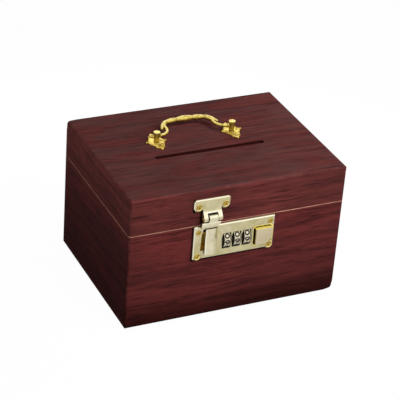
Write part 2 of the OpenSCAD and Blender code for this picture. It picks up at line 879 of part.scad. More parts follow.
// Outer shape of the lock case, or of its mortise when grown, between two depths
module case_outline(grow, front, back) {
    w = case_wall + grow;
    deep = max(back, -dial_room_in + w);
    box_between(
        [wide_room_x[0] - w, wide_room_y[0] - w, -max(back, case_depth)],
        [wide_room_x[1] + w, wide_room_y[1] + w, front]
    );
    box_between(
        [bar_room_x[0] - w, 0, -max(back, case_depth)],
        [bar_room_x[1] + w, bar_high + run_gap + w, front]
    );
    box_between(
        [dial_room_x[0] - w, -dial_room_r - w, -deep],
        [dial_room_x[1] + w, dial_room_r + w, front]
    );
}

// An open pan behind the plate, with a deep bay whose cheeks carry the dials' spindle
module lock_case() {
    inner_back = case_wall - case_depth;
    color(zinc) front_frame() difference() {
        translate([0, dial_z, 0]) difference() {
            case_outline(0, 0, 0);
            difference() {
                union() {
                    box_between(
                        [wide_room_x[0], wide_room_y[0], inner_back],
                        [wide_room_x[1], wide_room_y[1], cut]
                    );
                    box_between([bar_room_x[0], 0, inner_back], [bar_room_x[1], bar_high + run_gap, cut]);
                }
                box_between(
                    [dial_room_x[0] - case_wall, -dial_room_r - case_wall, -case_depth - cut],
                    [dial_room_x[1] + case_wall, bar_low - run_gap, 2 * cut]
                );
            }
            box_between(
                [dial_room_x[0], -dial_room_r, dial_room_in],
                [dial_room_x[1], dial_room_r, cut]
            );
            translate([dial_mid, 0, axis_out]) rod(spindle_r + pin_gap, plate_w / 2);
        }
        staple_channel();
    }
}

// A dial's window: its upper left corner cut, and an index notch at the digit to be read
module dial_window() {
    half_w = dial_window_w / 2;
    half_h = sqrt(dial_r * dial_r - pow(dial_r - dial_proud - skin_t, 2)) + run_gap;
    notch_up = 3.1;
    notch_h = 1.6;
    notch_deep = 0.6;
    corner = 0.8;
    polygon([
        [-half_w, -half_h], [half_w - corner, -half_h], [half_w, corner - half_h], [half_w, half_h],
        [corner - half_w, half_h], [-half_w, half_h - 2 * corner], [-half_w, notch_up + notch_h],
        [-half_w - notch_deep, notch_up], [-half_w, notch_up - notch_h]
    ]);
}

// The button's opening, or its raised rim when grown: corners cut, and clear of the screw
module button_opening(grow) {
    left = button_left - bar_travel - run_gap - grow;
    right = button_left + button_w + run_gap + grow;
    foot = button_foot - button_foot_gap - grow;
    top = button_foot + button_h + button_top_gap + grow;
    low = low_corner + grow * 1.3;
    high = top_corner + grow * 0.4;
    difference() {
        polygon([
            [left, foot + low], [left + low, foot], [right, foot], [right, top - high],
            [right - high, top], [left + high, top], [left, top - high]
        ]);
        translate([plate_screw_x, -screw_down]) circle(r = button_relief_r - wall_gap - grow);
    }
}

module lock_plate() {
    mid = (plate_up - plate_down) / 2;
    tall = plate_up + plate_down;
    ear = 2.2;
    ear_up = 0.9;
    dip_r = 6;
    dip_deep = 1.3;
    dip_side = 5.6;
    window_lean = 0.6;
    window_slope = 5.1;
    window_corner = 1.4;
    window_head = plate_up - window_top;
    color(champagne) front_frame() difference() {
        translate([0, dial_z, 0]) difference() {
            union() {
                translate([0, mid, 0]) bevel_slab(plate_w, tall, plate_t, plate_bevel);
                for (s = [-1, 1]) {
                    translate([s * plate_screw_x, -screw_down, 0]) bevel_disc(lobe_r, plate_t, plate_bevel);
                }
                translate([ear - plate_w / 2, plate_up - ear + ear_up, 0]) {
                    bevel_disc(ear, plate_t, plate_bevel);
                }
                linear_extrude(height = plate_t + rim_h) button_opening(rim_w);
            }
            translate([hasp_x - dip_side, plate_up + dip_r - dip_deep, -cut]) {
                cylinder(r = dip_r, h = plate_t + 2 * cut);
            }
            translate([0, 0, -cut]) linear_extrude(height = plate_t + 2 * cut) {
                polygon([
                    [-window_left, -window_foot], [window_lean - window_left, window_head - window_slope],
                    [window_lean + window_corner - window_left, window_head],
                    [hasp_x + window_right, window_head], [hasp_x + window_right, -window_foot]
                ]);
                for (x = dial_xs) {
                    translate([x, 0]) dial_window();
                }
            }
            translate([0, 0, -cut]) {
                linear_extrude(height = plate_t + rim_h + 2 * cut) button_opening(0);
            }
            box_between(
                [dial_room_x[0], -dial_room_r, -cut],
                [dial_room_x[1], dial_room_r, plate_t - skin_t]
            );
        }
        staple_channel();
        lock_screw_places() screw_hole(0, plate_t + cut);
    }
}

module dial_spindle() {
    length = dial_room_x[1] - dial_room_x[0] + 2 * case_wall;
    color(steel) front_frame() translate([dial_room_x[0] - case_wall + length / 2, dial_z, axis_out]) {
        rod(spindle_r, length);
    }
}

// A dial: ten digit places between grip notches in both rims
module dial(x) {
    edge = 0.4;
    notch_r = 0.7;
    notch_out = 0.25;
    notch_len = 1;
    digits = 10;
    read_angle = 31;
    color(zinc) front_frame() translate([x, dial_z, axis_out]) difference() {
        union() {
            rod(dial_r, dial_w - 2 * edge);
            for (s = [-1, 1]) {
                translate([s * (dial_w / 2 - edge), 0, 0]) rotate([0, s * 90, 0]) {
                    cylinder(r1 = dial_r, r2 = dial_r - edge, h = edge);
                }
            }
        }
        rod(spindle_r + pin_gap, dial_w + cut);
        for (i = [0 : digits - 1], s = [-1, 1]) {
            rotate([-read_angle - (i + 0.5) * 360 / digits, 0, 0]) {
                translate([s * (dial_w / 2 - notch_len / 2 + cut / 2), 0, dial_r + notch_out]) {
                    rod(notch_r, notch_len + cut);
                }
            }
        }
    }
}

// A cam fixed to a dial's right side, with the gate that the real lock reads
module cam(x) {
    gate_w = 2;
    gate_deep = 1.6;
    color(brass) front_frame() translate([x + dial_w / 2 + cam_t / 2, dial_z, axis_out]) difference() {
        rod(cam_r, cam_t);
        rod(spindle_r + pin_gap, cam_t + cut);
        translate([0, cam_r, 0]) cube([cam_t + cut, 2 * gate_deep, gate_w], center = true);
    }
}

module left_dial() { dial(dial_xs[0]); }
module middle_dial() { dial(dial_xs[1]); }
module right_dial() { dial(dial_xs[2]); }
module left_cam() { cam(dial_xs[0]); }
module middle_cam() { cam(dial_xs[1]); }
module right_cam() { cam(dial_xs[2]); }

// A strip on the bay's back wall with a rib behind each dial
module click_spring() {
    strip_t = 0.35;
    strip_h = 8;
    rib_w = dial_w - 2;
    color(steel) front_frame() translate([0, dial_z, dial_room_in]) {
        box_between([dial_room_x[0], -strip_h / 2, 0], [dial_room_x[1], strip_h / 2, strip_t]);
        for (x = dial_xs) {
            translate([x, 0, strip_t]) rod(strip_t, rib_w);
        }
    }
}

// The bar above the dials, with the catch on its left arm and the button on its right arm
module slide_bar() {
    color(zinc) front_frame() translate([0, dial_z, 0]) difference() {
        union() {
            box_between([arm_left, bar_low, bar_back], [push_arm[1], bar_high, bar_front]);
            box_between([arm_left, catch_low, catch_back], [arm_right, bar_high, bar_front]);
            box_between([catch_tip, catch_low, catch_back], [arm_right, catch_high, bar_front]);
            box_between(
                [push_arm[0], push_arm_foot, push_arm_out - push_arm_t],
                [push_arm[1], bar_high, push_arm_out]
            );
        }
        translate([rivet_x, -button_down, push_arm_out - push_arm_t - cut]) {
            cylinder(r = rivet_r + pin_gap, h = push_arm_t + 2 * cut);
        }
    }
}

// The button: a square block with a domed face, its lower right corner cut round the screw
module slide_button() {
    dome_r = 70;
    face = plate_t + button_proud;
    draft = 0.7;
    skim = 0.01;
    corner_side = button_corner * sqrt(2);
    color(champagne) front_frame() translate([0, dial_z, 0]) {
        difference() {
            intersection() {
                translate([button_x, -button_down, 0]) {
                    bevel_slab(button_w, button_h, face + skim, draft);
                }
                translate([button_x, -button_down, face - dome_r]) sphere(r = dome_r, $fn = 180);
            }
            translate([plate_screw_x, -screw_down, -cut]) cylinder(r = button_relief_r, h = face + 2 * cut);
            translate([button_left, button_foot, 0]) rotate([0, 0, 45]) {
                cube([corner_side, corner_side, 2 * face + cut], center = true);
            }
        }
        translate([rivet_x, -button_down, push_arm_out]) cylinder(r = shoulder_r, h = cut - push_arm_out);
        translate([rivet_x, -button_down, push_arm_out - push_arm_t - rivet_head_t]) {
            cylinder(r = rivet_r, h = push_arm_t + cut);
        }
    }
}

module lock_screws() {
    color(brass) front_frame() lock_screw_places() screw(screw_bite, plate_t);
}

base_board();
front_board();
back_board();
left_board();
right_board();
lid_top_board();
lid_front_rail();
lid_back_rail();
lid_left_rail();
lid_right_rail();
left_hinge_body_leaf();
left_hinge_lid_leaf();
left_hinge_pin();
right_hinge_body_leaf();
right_hinge_lid_leaf();
right_hinge_pin();
body_hinge_screws();
lid_hinge_screws();
left_leaf_plate();
right_leaf_plate();
left_post();
right_post();
bail();
leaf_plate_screws();
hasp_plate();
hasp_pin();
hasp_lever();
hasp_screws();
lock_plate();
lock_case();
dial_spindle();
left_dial();
middle_dial();
right_dial();
left_cam();
middle_cam();
right_cam();
click_spring();
slide_bar();
slide_button();
lock_screws();
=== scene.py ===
# Wooden donation box with a folding brass handle and a three-dial hasp lock, dressed in
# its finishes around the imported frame. Metres; front towards -Y, +Z up.
import math

import bmesh
import bpy
from mathutils import Matrix, Vector


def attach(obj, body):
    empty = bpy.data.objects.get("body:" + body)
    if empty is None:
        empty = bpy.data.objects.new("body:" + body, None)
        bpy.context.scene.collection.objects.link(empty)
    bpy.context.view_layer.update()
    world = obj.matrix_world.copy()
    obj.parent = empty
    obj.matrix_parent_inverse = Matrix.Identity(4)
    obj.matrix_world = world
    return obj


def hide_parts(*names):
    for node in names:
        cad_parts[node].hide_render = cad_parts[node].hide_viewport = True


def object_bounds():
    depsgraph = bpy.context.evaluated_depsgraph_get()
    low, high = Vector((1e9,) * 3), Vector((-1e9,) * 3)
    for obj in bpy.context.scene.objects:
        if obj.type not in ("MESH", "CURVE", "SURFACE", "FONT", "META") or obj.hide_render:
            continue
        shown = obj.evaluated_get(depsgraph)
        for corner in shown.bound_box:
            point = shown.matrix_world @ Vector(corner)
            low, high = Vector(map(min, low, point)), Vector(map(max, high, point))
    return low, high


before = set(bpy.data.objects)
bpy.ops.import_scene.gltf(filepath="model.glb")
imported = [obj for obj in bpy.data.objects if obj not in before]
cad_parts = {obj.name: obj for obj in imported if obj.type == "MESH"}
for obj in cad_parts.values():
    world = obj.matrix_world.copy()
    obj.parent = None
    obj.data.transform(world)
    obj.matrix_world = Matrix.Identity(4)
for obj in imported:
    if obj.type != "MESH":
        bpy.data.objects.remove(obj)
cad_low, cad_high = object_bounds()
MM = 0.001

# ---------- camera ----------
# The view that the box is shown from: a long lens some 1.5 m away, above the front and to
# its left, and rolled a few degrees.
camera_turn = math.radians(-26.495)
camera_tilt = math.radians(29.958)
camera_roll = math.radians(4.464)
camera_place = Vector((-567.61, -1137.57, 800.33)) * MM
focal_pixels = 1662.72
frame_pixels = 400.0

camera_data = bpy.data.cameras.new("camera")
camera_data.sensor_width = 36.0
camera_data.lens = camera_data.sensor_width * focal_pixels / frame_pixels
camera_data.clip_start = 0.05
camera_data.clip_end = 20.0
camera = bpy.data.objects.new("camera", camera_data)
back = Vector((
    math.sin(camera_turn) * math.cos(camera_tilt),
    -math.cos(camera_turn) * math.cos(camera_tilt),
    math.sin(camera_tilt),
))
level_right = Vector((math.cos(camera_turn), math.sin(camera_turn), 0.0))
level_up = back.cross(level_right)
right = math.cos(camera_roll) * level_right + math.sin(camera_roll) * level_up
up = math.cos(camera_roll) * level_up - math.sin(camera_roll) * level_right
aimed = Matrix((right, up, back)).transposed().to_4x4()
camera.matrix_world = Matrix.Translation(camera_place) @ aimed
bpy.context.scene.collection.objects.link(camera)
bpy.context.scene.camera = camera


# ---------- boards ----------
# Nine-millimetre boards glued into a closed box that is then sawn apart at the seam. They
# are stained red-brown and lacquered satin; the sawn rims stay bare.
class Wire:
    """A socket of a finish's nodes. Arithmetic on it adds Math nodes."""

    def __init__(self, socket):
        self.socket = socket
        self.tree = socket.id_data

    def node(self, kind, settings=None, inputs=None, output=0):
        """Adds a node of any kind and gives back one of its outputs."""
        made = self.tree.nodes.new(kind)
        for name, value in (settings or {}).items():
            setattr(made, name, value)
        for name, value in (inputs or {}).items():
            if isinstance(value, Wire):
                self.tree.links.new(value.socket, made.inputs[name])
            else:
                made.inputs[name].default_value = value
        return Wire(made.outputs[output])

    def math(self, operation, first, second=0.0):
        return self.node("ShaderNodeMath", {"operation": operation}, {0: first, 1: second})

    def __add__(self, other):
        return self.math("ADD", self, other)

    def __radd__(self, other):
        return self.math("ADD", other, self)

    def __sub__(self, other):
        return self.math("SUBTRACT", self, other)

    def __rsub__(self, other):
        return self.math("SUBTRACT", other, self)

    def __mul__(self, other):
        return self.math("MULTIPLY", self, other)

    def __rmul__(self, other):
        return self.math("MULTIPLY", other, self)

    def __abs__(self):
        return self.math("ABSOLUTE", self)

    def larger(self, other):
        return self.math("MAXIMUM", self, other)

    def ramp(self, low, high):
        """0 up to low, 1 from high on, and smooth between them."""
        settings = {"interpolation_type": "SMOOTHSTEP"}
        return self.node("ShaderNodeMapRange", settings, {"Value": self, 1: low, 2: high})

    def stretch(self, x, y, z):
        settings = {"operation": "MULTIPLY"}
        return self.node("ShaderNodeVectorMath", settings, {0: self, 1: (x, y, z)})

    def noise(self, scale, detail, rough, warp=0.0):
        inputs = {"Vector": self, "Scale": scale, "Detail": detail, "Roughness": rough}
        inputs["Distortion"] = warp
        return self.node("ShaderNodeTexNoise", {"noise_dimensions": "3D"}, inputs)

    def part(self, letter):
        return self.node("ShaderNodeSeparateXYZ", {}, {"Vector": self}, letter)

    def mix(self, first, second):
        """A colour between two, by this share."""
        settings = {"data_type": "RGBA"}
        return self.node("ShaderNodeMix", settings, {0: self, 6: first, 7: second}, 2)

    def mix_values(self, first, second):
        return self.node("ShaderNodeMix", {"data_type": "FLOAT"}, {0: self, 2: first, 3: second})


def shade(red, green, blue):
    """A colour from its three screen values out of 255, by the sRGB curve."""
    values = [v / 255.0 for v in (red, green, blue)]
    linear = [v / 12.92 if v <= 0.04045 else ((v + 0.055) / 1.055) ** 2.4 for v in values]
    return (*linear, 1.0)


class Finish:
    """A new material: its shader, and the place and facing of each point on the piece."""

    def __init__(self, name, **constants):
        self.material = bpy.data.materials.new(name)
        self.material.use_nodes = True
        self.shader = self.material.node_tree.nodes["Principled BSDF"]
        start = Wire(self.shader.outputs["BSDF"])
        self.place = start.node("ShaderNodeTexCoord", output="Object")
        self.facing = start.node("ShaderNodeTexCoord", output="Normal")
        for name, value in constants.items():
            self.shader.inputs[name.replace("_", " ")].default_value = value

    def feed(self, name, wire):
        self.material.node_tree.links.new(wire.socket, self.shader.inputs[name])

    def bump(self, height, depth, strength):
        inputs = {"Height": height, "Distance": depth, "Strength": strength}
        self.feed("Normal", self.place.node("ShaderNodeBump", {}, inputs))


def finish_nodes(material, *names):
    """Puts a finish on pieces that keep the frame's own shape."""
    for name in names:
        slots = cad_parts[name].data.materials
        slots.clear()
        slots.append(material)


seam = 91.5 * MM
rim_bevel = 0.7 * MM
box_half = Vector((100.0, 75.0, 62.5)) * MM
slot_middle = Vector((-1.0, -12.6)) * MM
slot_half = Vector((51.7, 2.4)) * MM
corner_reach = 9.0 * MM
cut_soft = 0.1 * MM
# Each plate on the front: its left, right, foot and top, then the width of the painted shadow line
# at its left and of the one under it, in millimetres.
lock_plate_lines = (-41.9, 33.1, 59.4, 90.4, 0.8, 2.3)
hasp_bar_lines = (-42.9, -10.7, 105.9, 116.4, 0.6, 1.7)
hasp_neck_lines = (-35.4, -18.2, 94.0, 106.0, 1.1, 0.5)
body_reds = (shade(82, 37, 36), shade(110, 49, 47))
lid_reds = (shade(86, 42, 40), shade(108, 52, 49))
dark_streak, light_streak = shade(38, 20, 21), shade(122, 57, 55)
brown_cloud, dark_pore = shade(72, 38, 38), shade(34, 18, 19)
# A painted grey sheen for the lid's top, and red flames in its grain.
painted_sheen_grey, red_flame = shade(90, 62, 60), shade(112, 50, 49)
dark_line, red_line = shade(62, 34, 36), shade(114, 56, 54)
# A painted sheen for the sides, painted shade for the box's foot, and a darker tone for the lid's
# right end.
painted_side_sheen, painted_foot_shade, lid_end_tone = shade(84, 62, 62), shade(38, 16, 15), shade(52, 34, 33)
# Edge wear with a painted sheen, painted shade for the slot's walls, and a painted shadow for the
# line round each plate.
edge_wear_sheen, painted_slot_shade, painted_plate_shadow = shade(126, 74, 68), shade(60, 24, 22), shade(22, 10, 8)
bare_wood = (shade(190, 146, 124), shade(156, 112, 94))


def slot_shade(place, facing):
    """1 on the slot's cut walls, which are painted dark as shade, else 0."""
    off_x = abs(place.part("X") - slot_middle.x)
    off_y = abs(place.part("Y") - slot_middle.y)
    along = 1.0 - off_x.ramp(slot_half.x, slot_half.x + cut_soft)
    across = 1.0 - off_y.ramp(slot_half.y, slot_half.y + cut_soft)
    upright = 1.0 - abs(facing.part("Z")).ramp(0.4, 0.8)
    return along * across * upright


def plate_shadow_line(place, low_x, high_x, low_z, high_z, left, under):
    """1 on the front in the line of painted shadow under and left of a plate."""
    middle_x, middle_z = (low_x + high_x - left) / 2, (low_z + high_z - under) / 2
    half_x, half_z = (high_x - low_x + left) / 2, (high_z - low_z + under) / 2
    out_x = abs(place.part("X") - middle_x * MM) - half_x * MM
    out_z = abs(place.part("Z") - middle_z * MM) - half_z * MM
    outside = out_x.larger(out_z).ramp(-0.1 * MM, 0.4 * MM)
    front = place.part("Y").ramp(-box_half.y + 1.0 * MM, -box_half.y + 0.4 * MM)
    return (1.0 - outside) * front


def along_boards(place, side, along, across, detail, rough, warp=0.0):
    """Noise drawn out along X, and along Y on the two sides."""
    front = place.stretch(along, across, across).noise(1.0, detail, rough, warp)
    end = place.stretch(across, along, across).noise(1.0, detail, rough, warp)
    return side.mix_values(front, end)


def sheened_top(place, flat, tone):
    """The lid's top: patches of painted grey sheen, red flames and fine lines."""
    patches = place.stretch(16.0, 55.0, 55.0).noise(1.0, 4.0, 0.62, 0.6)
    sheened = (flat * (0.22 + patches.ramp(0.4, 0.62) * 0.45)).mix(tone, painted_sheen_grey)
    flamed = (flat * patches.ramp(0.46, 0.3) * 0.4).mix(sheened, red_flame)
    lines = place.stretch(26.0, 430.0, 430.0).noise(1.0, 3.0, 0.6, 0.4)
    lined = (flat * lines.ramp(0.52, 0.66) * 0.45).mix(flamed, dark_line)
    return (flat * lines.ramp(0.47, 0.34) * 0.55).mix(lined, red_line)


def darker_ends(place, facing, side, tone):
    """A painted sheen on the sides, painted shade towards the box's foot, and a darker tone towards
    the lid's right end.
    """
    foot_height, lid_run = 34.0 * MM, 80.0 * MM
    side_sheened = (side * 0.12).mix(tone, painted_side_sheen)
    front = abs(facing.part("Y"))
    foot = place.part("Z").ramp(foot_height, 0.0) * front * 0.8
    foot_shaded = foot.mix(side_sheened, painted_foot_shade)
    lid_end = place.part("Z").ramp(seam, seam + 1.0 * MM) * place.part("X").ramp(0.0, lid_run)
    return (lid_end * front * 0.25).mix(foot_shaded, lid_end_tone)


def worn_sheened_edges(place, tone):
    """The box's outer edges, where the stain is rubbed thin and a painted sheen lightens them."""
    inner, outer = 2.6 * MM, 0.6 * MM
    x_out = abs(place.part("X")).ramp(box_half.x - inner, box_half.x - outer)
    y_out = abs(place.part("Y")).ramp(box_half.y - inner, box_half.y - outer)
    z_out = abs(place.part("Z") - box_half.z).ramp(box_half.z - inner, box_half.z - outer)
    edge = (x_out * y_out).larger(x_out * z_out).larger(y_out * z_out)
    wear = edge * place.noise(90.0, 3.0, 0.6).ramp(0.45, 0.75)
    return (wear * 0.4).mix(tone, edge_wear_sheen)


def stained_wood(name, bare_rim, reds, plates):
    """Stained boards: streaks and pores along the grain, and bare wood where bare_rim says."""
    finish = Finish(name, IOR=1.04, Specular_IOR_Level=0.15)
    place, facing = finish.place, finish.facing
    side = abs(facing.part("X")).ramp(0.55, 0.85)
    flat = facing.part("Z").ramp(0.6, 0.9)
    streaks = along_boards(place, side, 38.0, 1150.0, 5.0, 0.66, 0.25)
    figure = along_boards(place, side, 9.0, 120.0, 3.0, 0.5, 1.2)
    pores = along_boards(place, side, 60.0, 1400.0, 2.0, 0.5)
    clouds = place.noise(16.0, 2.0, 0.5)
    red = figure.ramp(0.3, 0.7).mix(*reds)
    dark_share = streaks.ramp(0.48, 0.66) * (0.38 + figure.ramp(0.62, 0.38) * 0.5)
    dark = dark_share.mix(red, dark_streak)
    light = (streaks.ramp(0.46, 0.3) * 0.6).mix(dark, light_streak)
    toned = (clouds.ramp(0.42, 0.75) * 0.4).mix(light, brown_cloud)
    pored = (pores.ramp(0.54, 0.7) * 0.65).mix(toned, dark_pore)
    # The lid's top gets a painted grey sheen.
    top_toned = sheened_top(place, flat, pored)
    # The sides get a painted sheen, the foot painted shade, and the worn edges a painted sheen.
    edge_toned = worn_sheened_edges(place, darker_ends(place, facing, side, top_toned))
    grain = place.stretch(40.0, 900.0, 900.0).noise(1.0, 3.0, 0.6)
    bare_tone = grain.ramp(0.3, 0.7).mix(*bare_wood)
    bare = bare_rim(place, facing)
    # Painted shade on the slot's walls, and bare wood on the sawn rim.
    tone = slot_shade(place, facing).mix(bare.mix(edge_toned, bare_tone), painted_slot_shade)
    # Painted shadow under and left of each plate.
    for plate in plates:
        tone = (plate_shadow_line(place, *plate) * 0.9).mix(tone, painted_plate_shadow)
    finish.feed("Base Color", tone)
    finish.feed("Roughness", 0.44 + streaks * 0.12 + bare * 0.2)
    finish.bump(streaks * 0.5 + pores, 0.05 * MM, 0.5)
    return finish.material


def body_rim(place, facing):
    """1 on the case's sawn rim and its small bevel."""
    return place.part("Z").ramp(seam - rim_bevel * 1.02, seam - rim_bevel * 0.98)


def lid_rim(place, facing):
    """1 on the lid's sawn rim."""
    low = 1.0 - place.part("Z").ramp(seam, seam + 0.4 * MM)
    return low * (1.0 - facing.part("Z").ramp(-0.8, -0.3))


body_wood = stained_wood("stained_wood_body", body_rim, body_reds, [lock_plate_lines])
lid_wood = stained_wood("stained_wood_lid", lid_rim, lid_reds, [hasp_bar_lines, hasp_neck_lines])
finish_nodes(body_wood, "base_board", "left_board", "right_board")
finish_nodes(lid_wood, "lid_front_rail", "lid_back_rail", "lid_left_rail", "lid_right_rail")

# Hands of the two corners that are worn round, and the power of each one's rounding: a
# lower power is rounder, and the square power leaves a corner as it was.
worn_corners = {(1, -1, -1): 5.3, (-1, 1, 1): 6.6}
square_power = 8.2
ease_share = 0.45
corner_cuts = (0.0, 0.15, 0.3, 0.42, 0.53, 0.63, 0.72, 0.8, 0.87, 0.93, 0.97)
cut_snap = 0.0001 * MM
weld = 0.002 * MM
board_crease = math.radians(30.0)


def fresh_copy(name, node, finishes):
    """A copy of a node's mesh under new finishes, and the same opened for work."""
    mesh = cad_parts[node].data.copy()
    mesh.name = name
    mesh.materials.clear()
    for finish in finishes:
        mesh.materials.append(finish)
    if "custom_normal" in mesh.attributes:
        mesh.attributes.remove(mesh.attributes["custom_normal"])
    work = bmesh.new()
    work.from_mesh(mesh)
    bmesh.ops.remove_doubles(work, verts=work.verts, dist=weld)
    return mesh, work


def new_piece(name, mesh, body, node=None):
    """Adds a piece that rides on a body, in place of a node if there is one."""
    piece = bpy.data.objects.new(name, mesh)
    bpy.context.scene.collection.objects.link(piece)
    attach(piece, body)
    if node:
        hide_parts(node)
    return piece


def rounded_in(past, hands):
    """A place near a corner, drawn in where it stands proud of the hand-rounded corner."""
    deep = min(past) / corner_reach
    power = worn_corners.get(tuple(int(h) for h in hands), square_power)
    if deep <= 0.0 or power == square_power:
        return past
    power = square_power - (square_power - power) * min(1.0, deep / ease_share)
    reach = sum((c / corner_reach) ** power for c in past) ** (1.0 / power)
    return past / reach if reach > 1.0 else past


def sanded(name, node, finish, body):
    """A board with the box's outer corners sanded round, in place of the node."""
    mesh, work = fresh_copy(name, node, [finish])
    middle = Vector((0.0, 0.0, box_half.z))
    core = box_half - Vector((corner_reach,) * 3)
    for axis in range(3):
        for hand in (-1, 1):
            for share in corner_cuts:
                place, normal = middle.copy(), Vector()
                place[axis] += hand * (core[axis] + corner_reach * share)
                normal[axis] = 1.0
                everything = work.verts[:] + work.edges[:] + work.faces[:]
                bmesh.ops.bisect_plane(
                    work, geom=everything, dist=cut_snap, plane_co=place, plane_no=normal,
                )
    for vert in work.verts:
        out = vert.co - middle
        hands = [math.copysign(1.0, c) for c in out]
        past = rounded_in(Vector([abs(c) - k for c, k in zip(out, core)]), hands)
        vert.co = middle + Vector([h * (k + c) for h, k, c in zip(hands, core, past)])
    work.to_mesh(mesh)
    work.free()
    mesh.shade_smooth()
    mesh.set_sharp_from_angle(angle=board_crease)
    new_piece(name, mesh, body, node)


sanded("sanded_front_board", "front_board", body_wood, "case")
sanded("sanded_back_board", "back_board", body_wood, "case")
sanded("sanded_lid_top_board", "lid_top_board", lid_wood, "lid")

# ---------- hinges ----------
# Two pressed brass butt hinges screwed to the outside of the back: a leaf on the box, a
# leaf on the lid, and a steel pin peened at both ends.
def metal(name, face, hollow_shade, rough, metallic=0.9, crease=1.2 * MM, tint=None, cast=0.6):
    """Plated or polished metal: cloudy in tone, finely scratched, and painted darker in its creases
    as shade.
    """
    finish = Finish(name)
    place = finish.place
    if callable(metallic):
        finish.feed("Metallic", metallic(place, finish.facing))
    else:
        finish.shader.inputs["Metallic"].default_value = metallic
    clouds = place.noise(170.0, 3.0, 0.55)
    scratches = place.stretch(300.0, 2600.0, 2600.0).noise(1.0, 2.0, 0.5)
    fine = place.noise(2400.0, 2.0, 0.5)
    lighter = tuple(min(1.0, c * 1.16) for c in face[:3]) + (1.0,)
    tone = clouds.ramp(0.32, 0.72).mix(face, lighter)
    settings = {"samples": 6, "only_local": False}
    # Painted shade in the creases, from ambient occlusion.
    open_share = place.node("ShaderNodeAmbientOcclusion", settings, {"Distance": crease}, "AO")
    crease_shaded = open_share.ramp(0.35, 0.95).mix(hollow_shade, tone)
    finish.feed("Base Color", tint(place, finish.facing, crease_shaded) if tint else crease_shaded)
    finish.feed("Roughness", rough + clouds * 0.12 + scratches * 0.06)
    finish.bump(fine * cast + scratches, 0.01 * MM, 0.35)
    return finish.material


flat_angle, crisp_angle, metal_crease = (math.radians(a) for a in (0.5, 28.0, 40.0))
leaf_roll = 0.18 * MM
brass = metal("brass", shade(206, 182, 92), shade(96, 66, 18), 0.24)
# A lighter finish for the rolled edges, as a painted highlight.
brass_edge = metal("brass_edge", shade(238, 222, 150), shade(120, 86, 30), 0.2)
steel = metal("steel", shade(160, 160, 156), shade(70, 70, 68), 0.3)


def softened(name, node, width, finishes, body, steps=3):
    """The frame's shape with its edges rolled over, in place of the node; the edges take the last
    finish, a lighter one as a painted highlight where there are two.
    """
    mesh, work = fresh_copy(name, node, finishes)
    bmesh.ops.dissolve_limit(work, angle_limit=flat_angle, verts=work.verts, edges=work.edges)
    crisp = [
        e for e in work.edges
        if len(e.link_faces) == 2 and e.calc_face_angle(0.0) > crisp_angle
    ]
    bmesh.ops.bevel(
        work, geom=crisp, offset=width, segments=steps, profile=0.5, affect="EDGES",
        clamp_overlap=True, offset_type="OFFSET", material=len(finishes) - 1,
    )
    work.to_mesh(mesh)
    work.free()
    mesh.shade_smooth()
    mesh.set_sharp_from_angle(angle=metal_crease)
    weight = new_piece(name, mesh, body, node).modifiers.new("even", "WEIGHTED_NORMAL")
    weight.keep_sharp = True


for side in ("left", "right"):
    for part, body in (("body", "case"), ("lid", "lid")):
        softened(
            f"{side}_hinge_{part}_plate", f"{side}_hinge_{part}_leaf", leaf_roll,
            (brass, brass_edge), body, 2,
        )
finish_nodes(steel, "left_hinge_pin", "right_hinge_pin")
screw_brass = metal(
    "screw_brass", shade(196, 164, 70), shade(52, 36, 10), 0.28, crease=0.9 * MM
)
finish_nodes(
    screw_brass, "body_hinge_screws", "lid_hinge_screws", "leaf_plate_screws", "hasp_screws",
    "lock_screws",
)

# ---------- handle ----------
# A cast brass handle: two long diamond plates screwed to the lid, a post through each, and
# a bail that folds down on pins in the posts.
# Painted shade and painted highlight for the handle, and a darker tone for its pits.
painted_shade_gold, painted_highlight_gold, pit_gold = shade(112, 80, 20), shade(234, 216, 128), shade(144, 108, 30)
# Painted shade for the plates' slopes, old polish in their pits, and painted glints.
painted_slope_shade, pit_polish, painted_glint_gold = shade(184, 138, 42), shade(128, 86, 18), shade(252, 234, 146)


def cast_shine(place, facing, tone):
    """Painted highlight on top, pitted, and painted shade of dull dark gold where it slopes away or
    looks down.
    """
    lit = facing.part("Z") - facing.part("Y") * 0.15 - facing.part("X") * 0.1
    low_shaded = lit.ramp(-0.8, 0.35).mix(painted_shade_gold, tone)
    highlighted = lit.ramp(0.6, 0.98).mix(low_shaded, painted_highlight_gold)
    pitted = place.noise(520.0, 3.0, 0.6).ramp(0.5, 0.64) * 0.7
    return pitted.mix(highlighted, pit_gold)


def plate_shine(place, facing, tone):
    """The relief's flats keep their tone and its slopes are painted in shade; pits hold old polish,
    and light specks are painted glints.
    """
    slope_shaded = facing.part("Z").ramp(0.9, 0.4).mix(tone, painted_slope_shade)
    spots = place.noise(480.0, 3.0, 0.65)
    pitted = (spots.ramp(0.51, 0.6) * 0.75).mix(slope_shaded, pit_polish)
    return (spots.ramp(0.45, 0.38) * 0.6).mix(pitted, painted_glint_gold)


handle_brass = metal(
    "handle_brass", shade(204, 178, 84), shade(84, 56, 10), 0.26,
    crease=1.6 * MM, tint=cast_shine, cast=2.0,
)
plate_brass = metal(
    "plate_brass", shade(244, 214, 104), shade(84, 58, 14), 0.28,
    crease=0.9 * MM, tint=plate_shine, cast=2.0,
)
fit_x = -4.4 * MM
post_xs = (-40.2 * MM, 31.4 * MM)
handle_y = 13.2 * MM
lid_top = 125.0 * MM
bail_z = 131.2 * MM
post_roll = 0.25 * MM
plate_rings, plate_turns = 26, 144
# The plate's outline over a quarter of it, across and along from its middle, in millimetres.
plate_corners = (
    (9.9, 0.0), (9.6, 0.75), (8.5, 1.0), (7.6, 1.5), (5.6, 5.6), (4.3, 8.3), (3.9, 9.6),
    (4.0, 10.4), (3.4, 11.1), (2.3, 11.3), (1.9, 12.3), (1.3, 13.6), (0.0, 15.0),
)
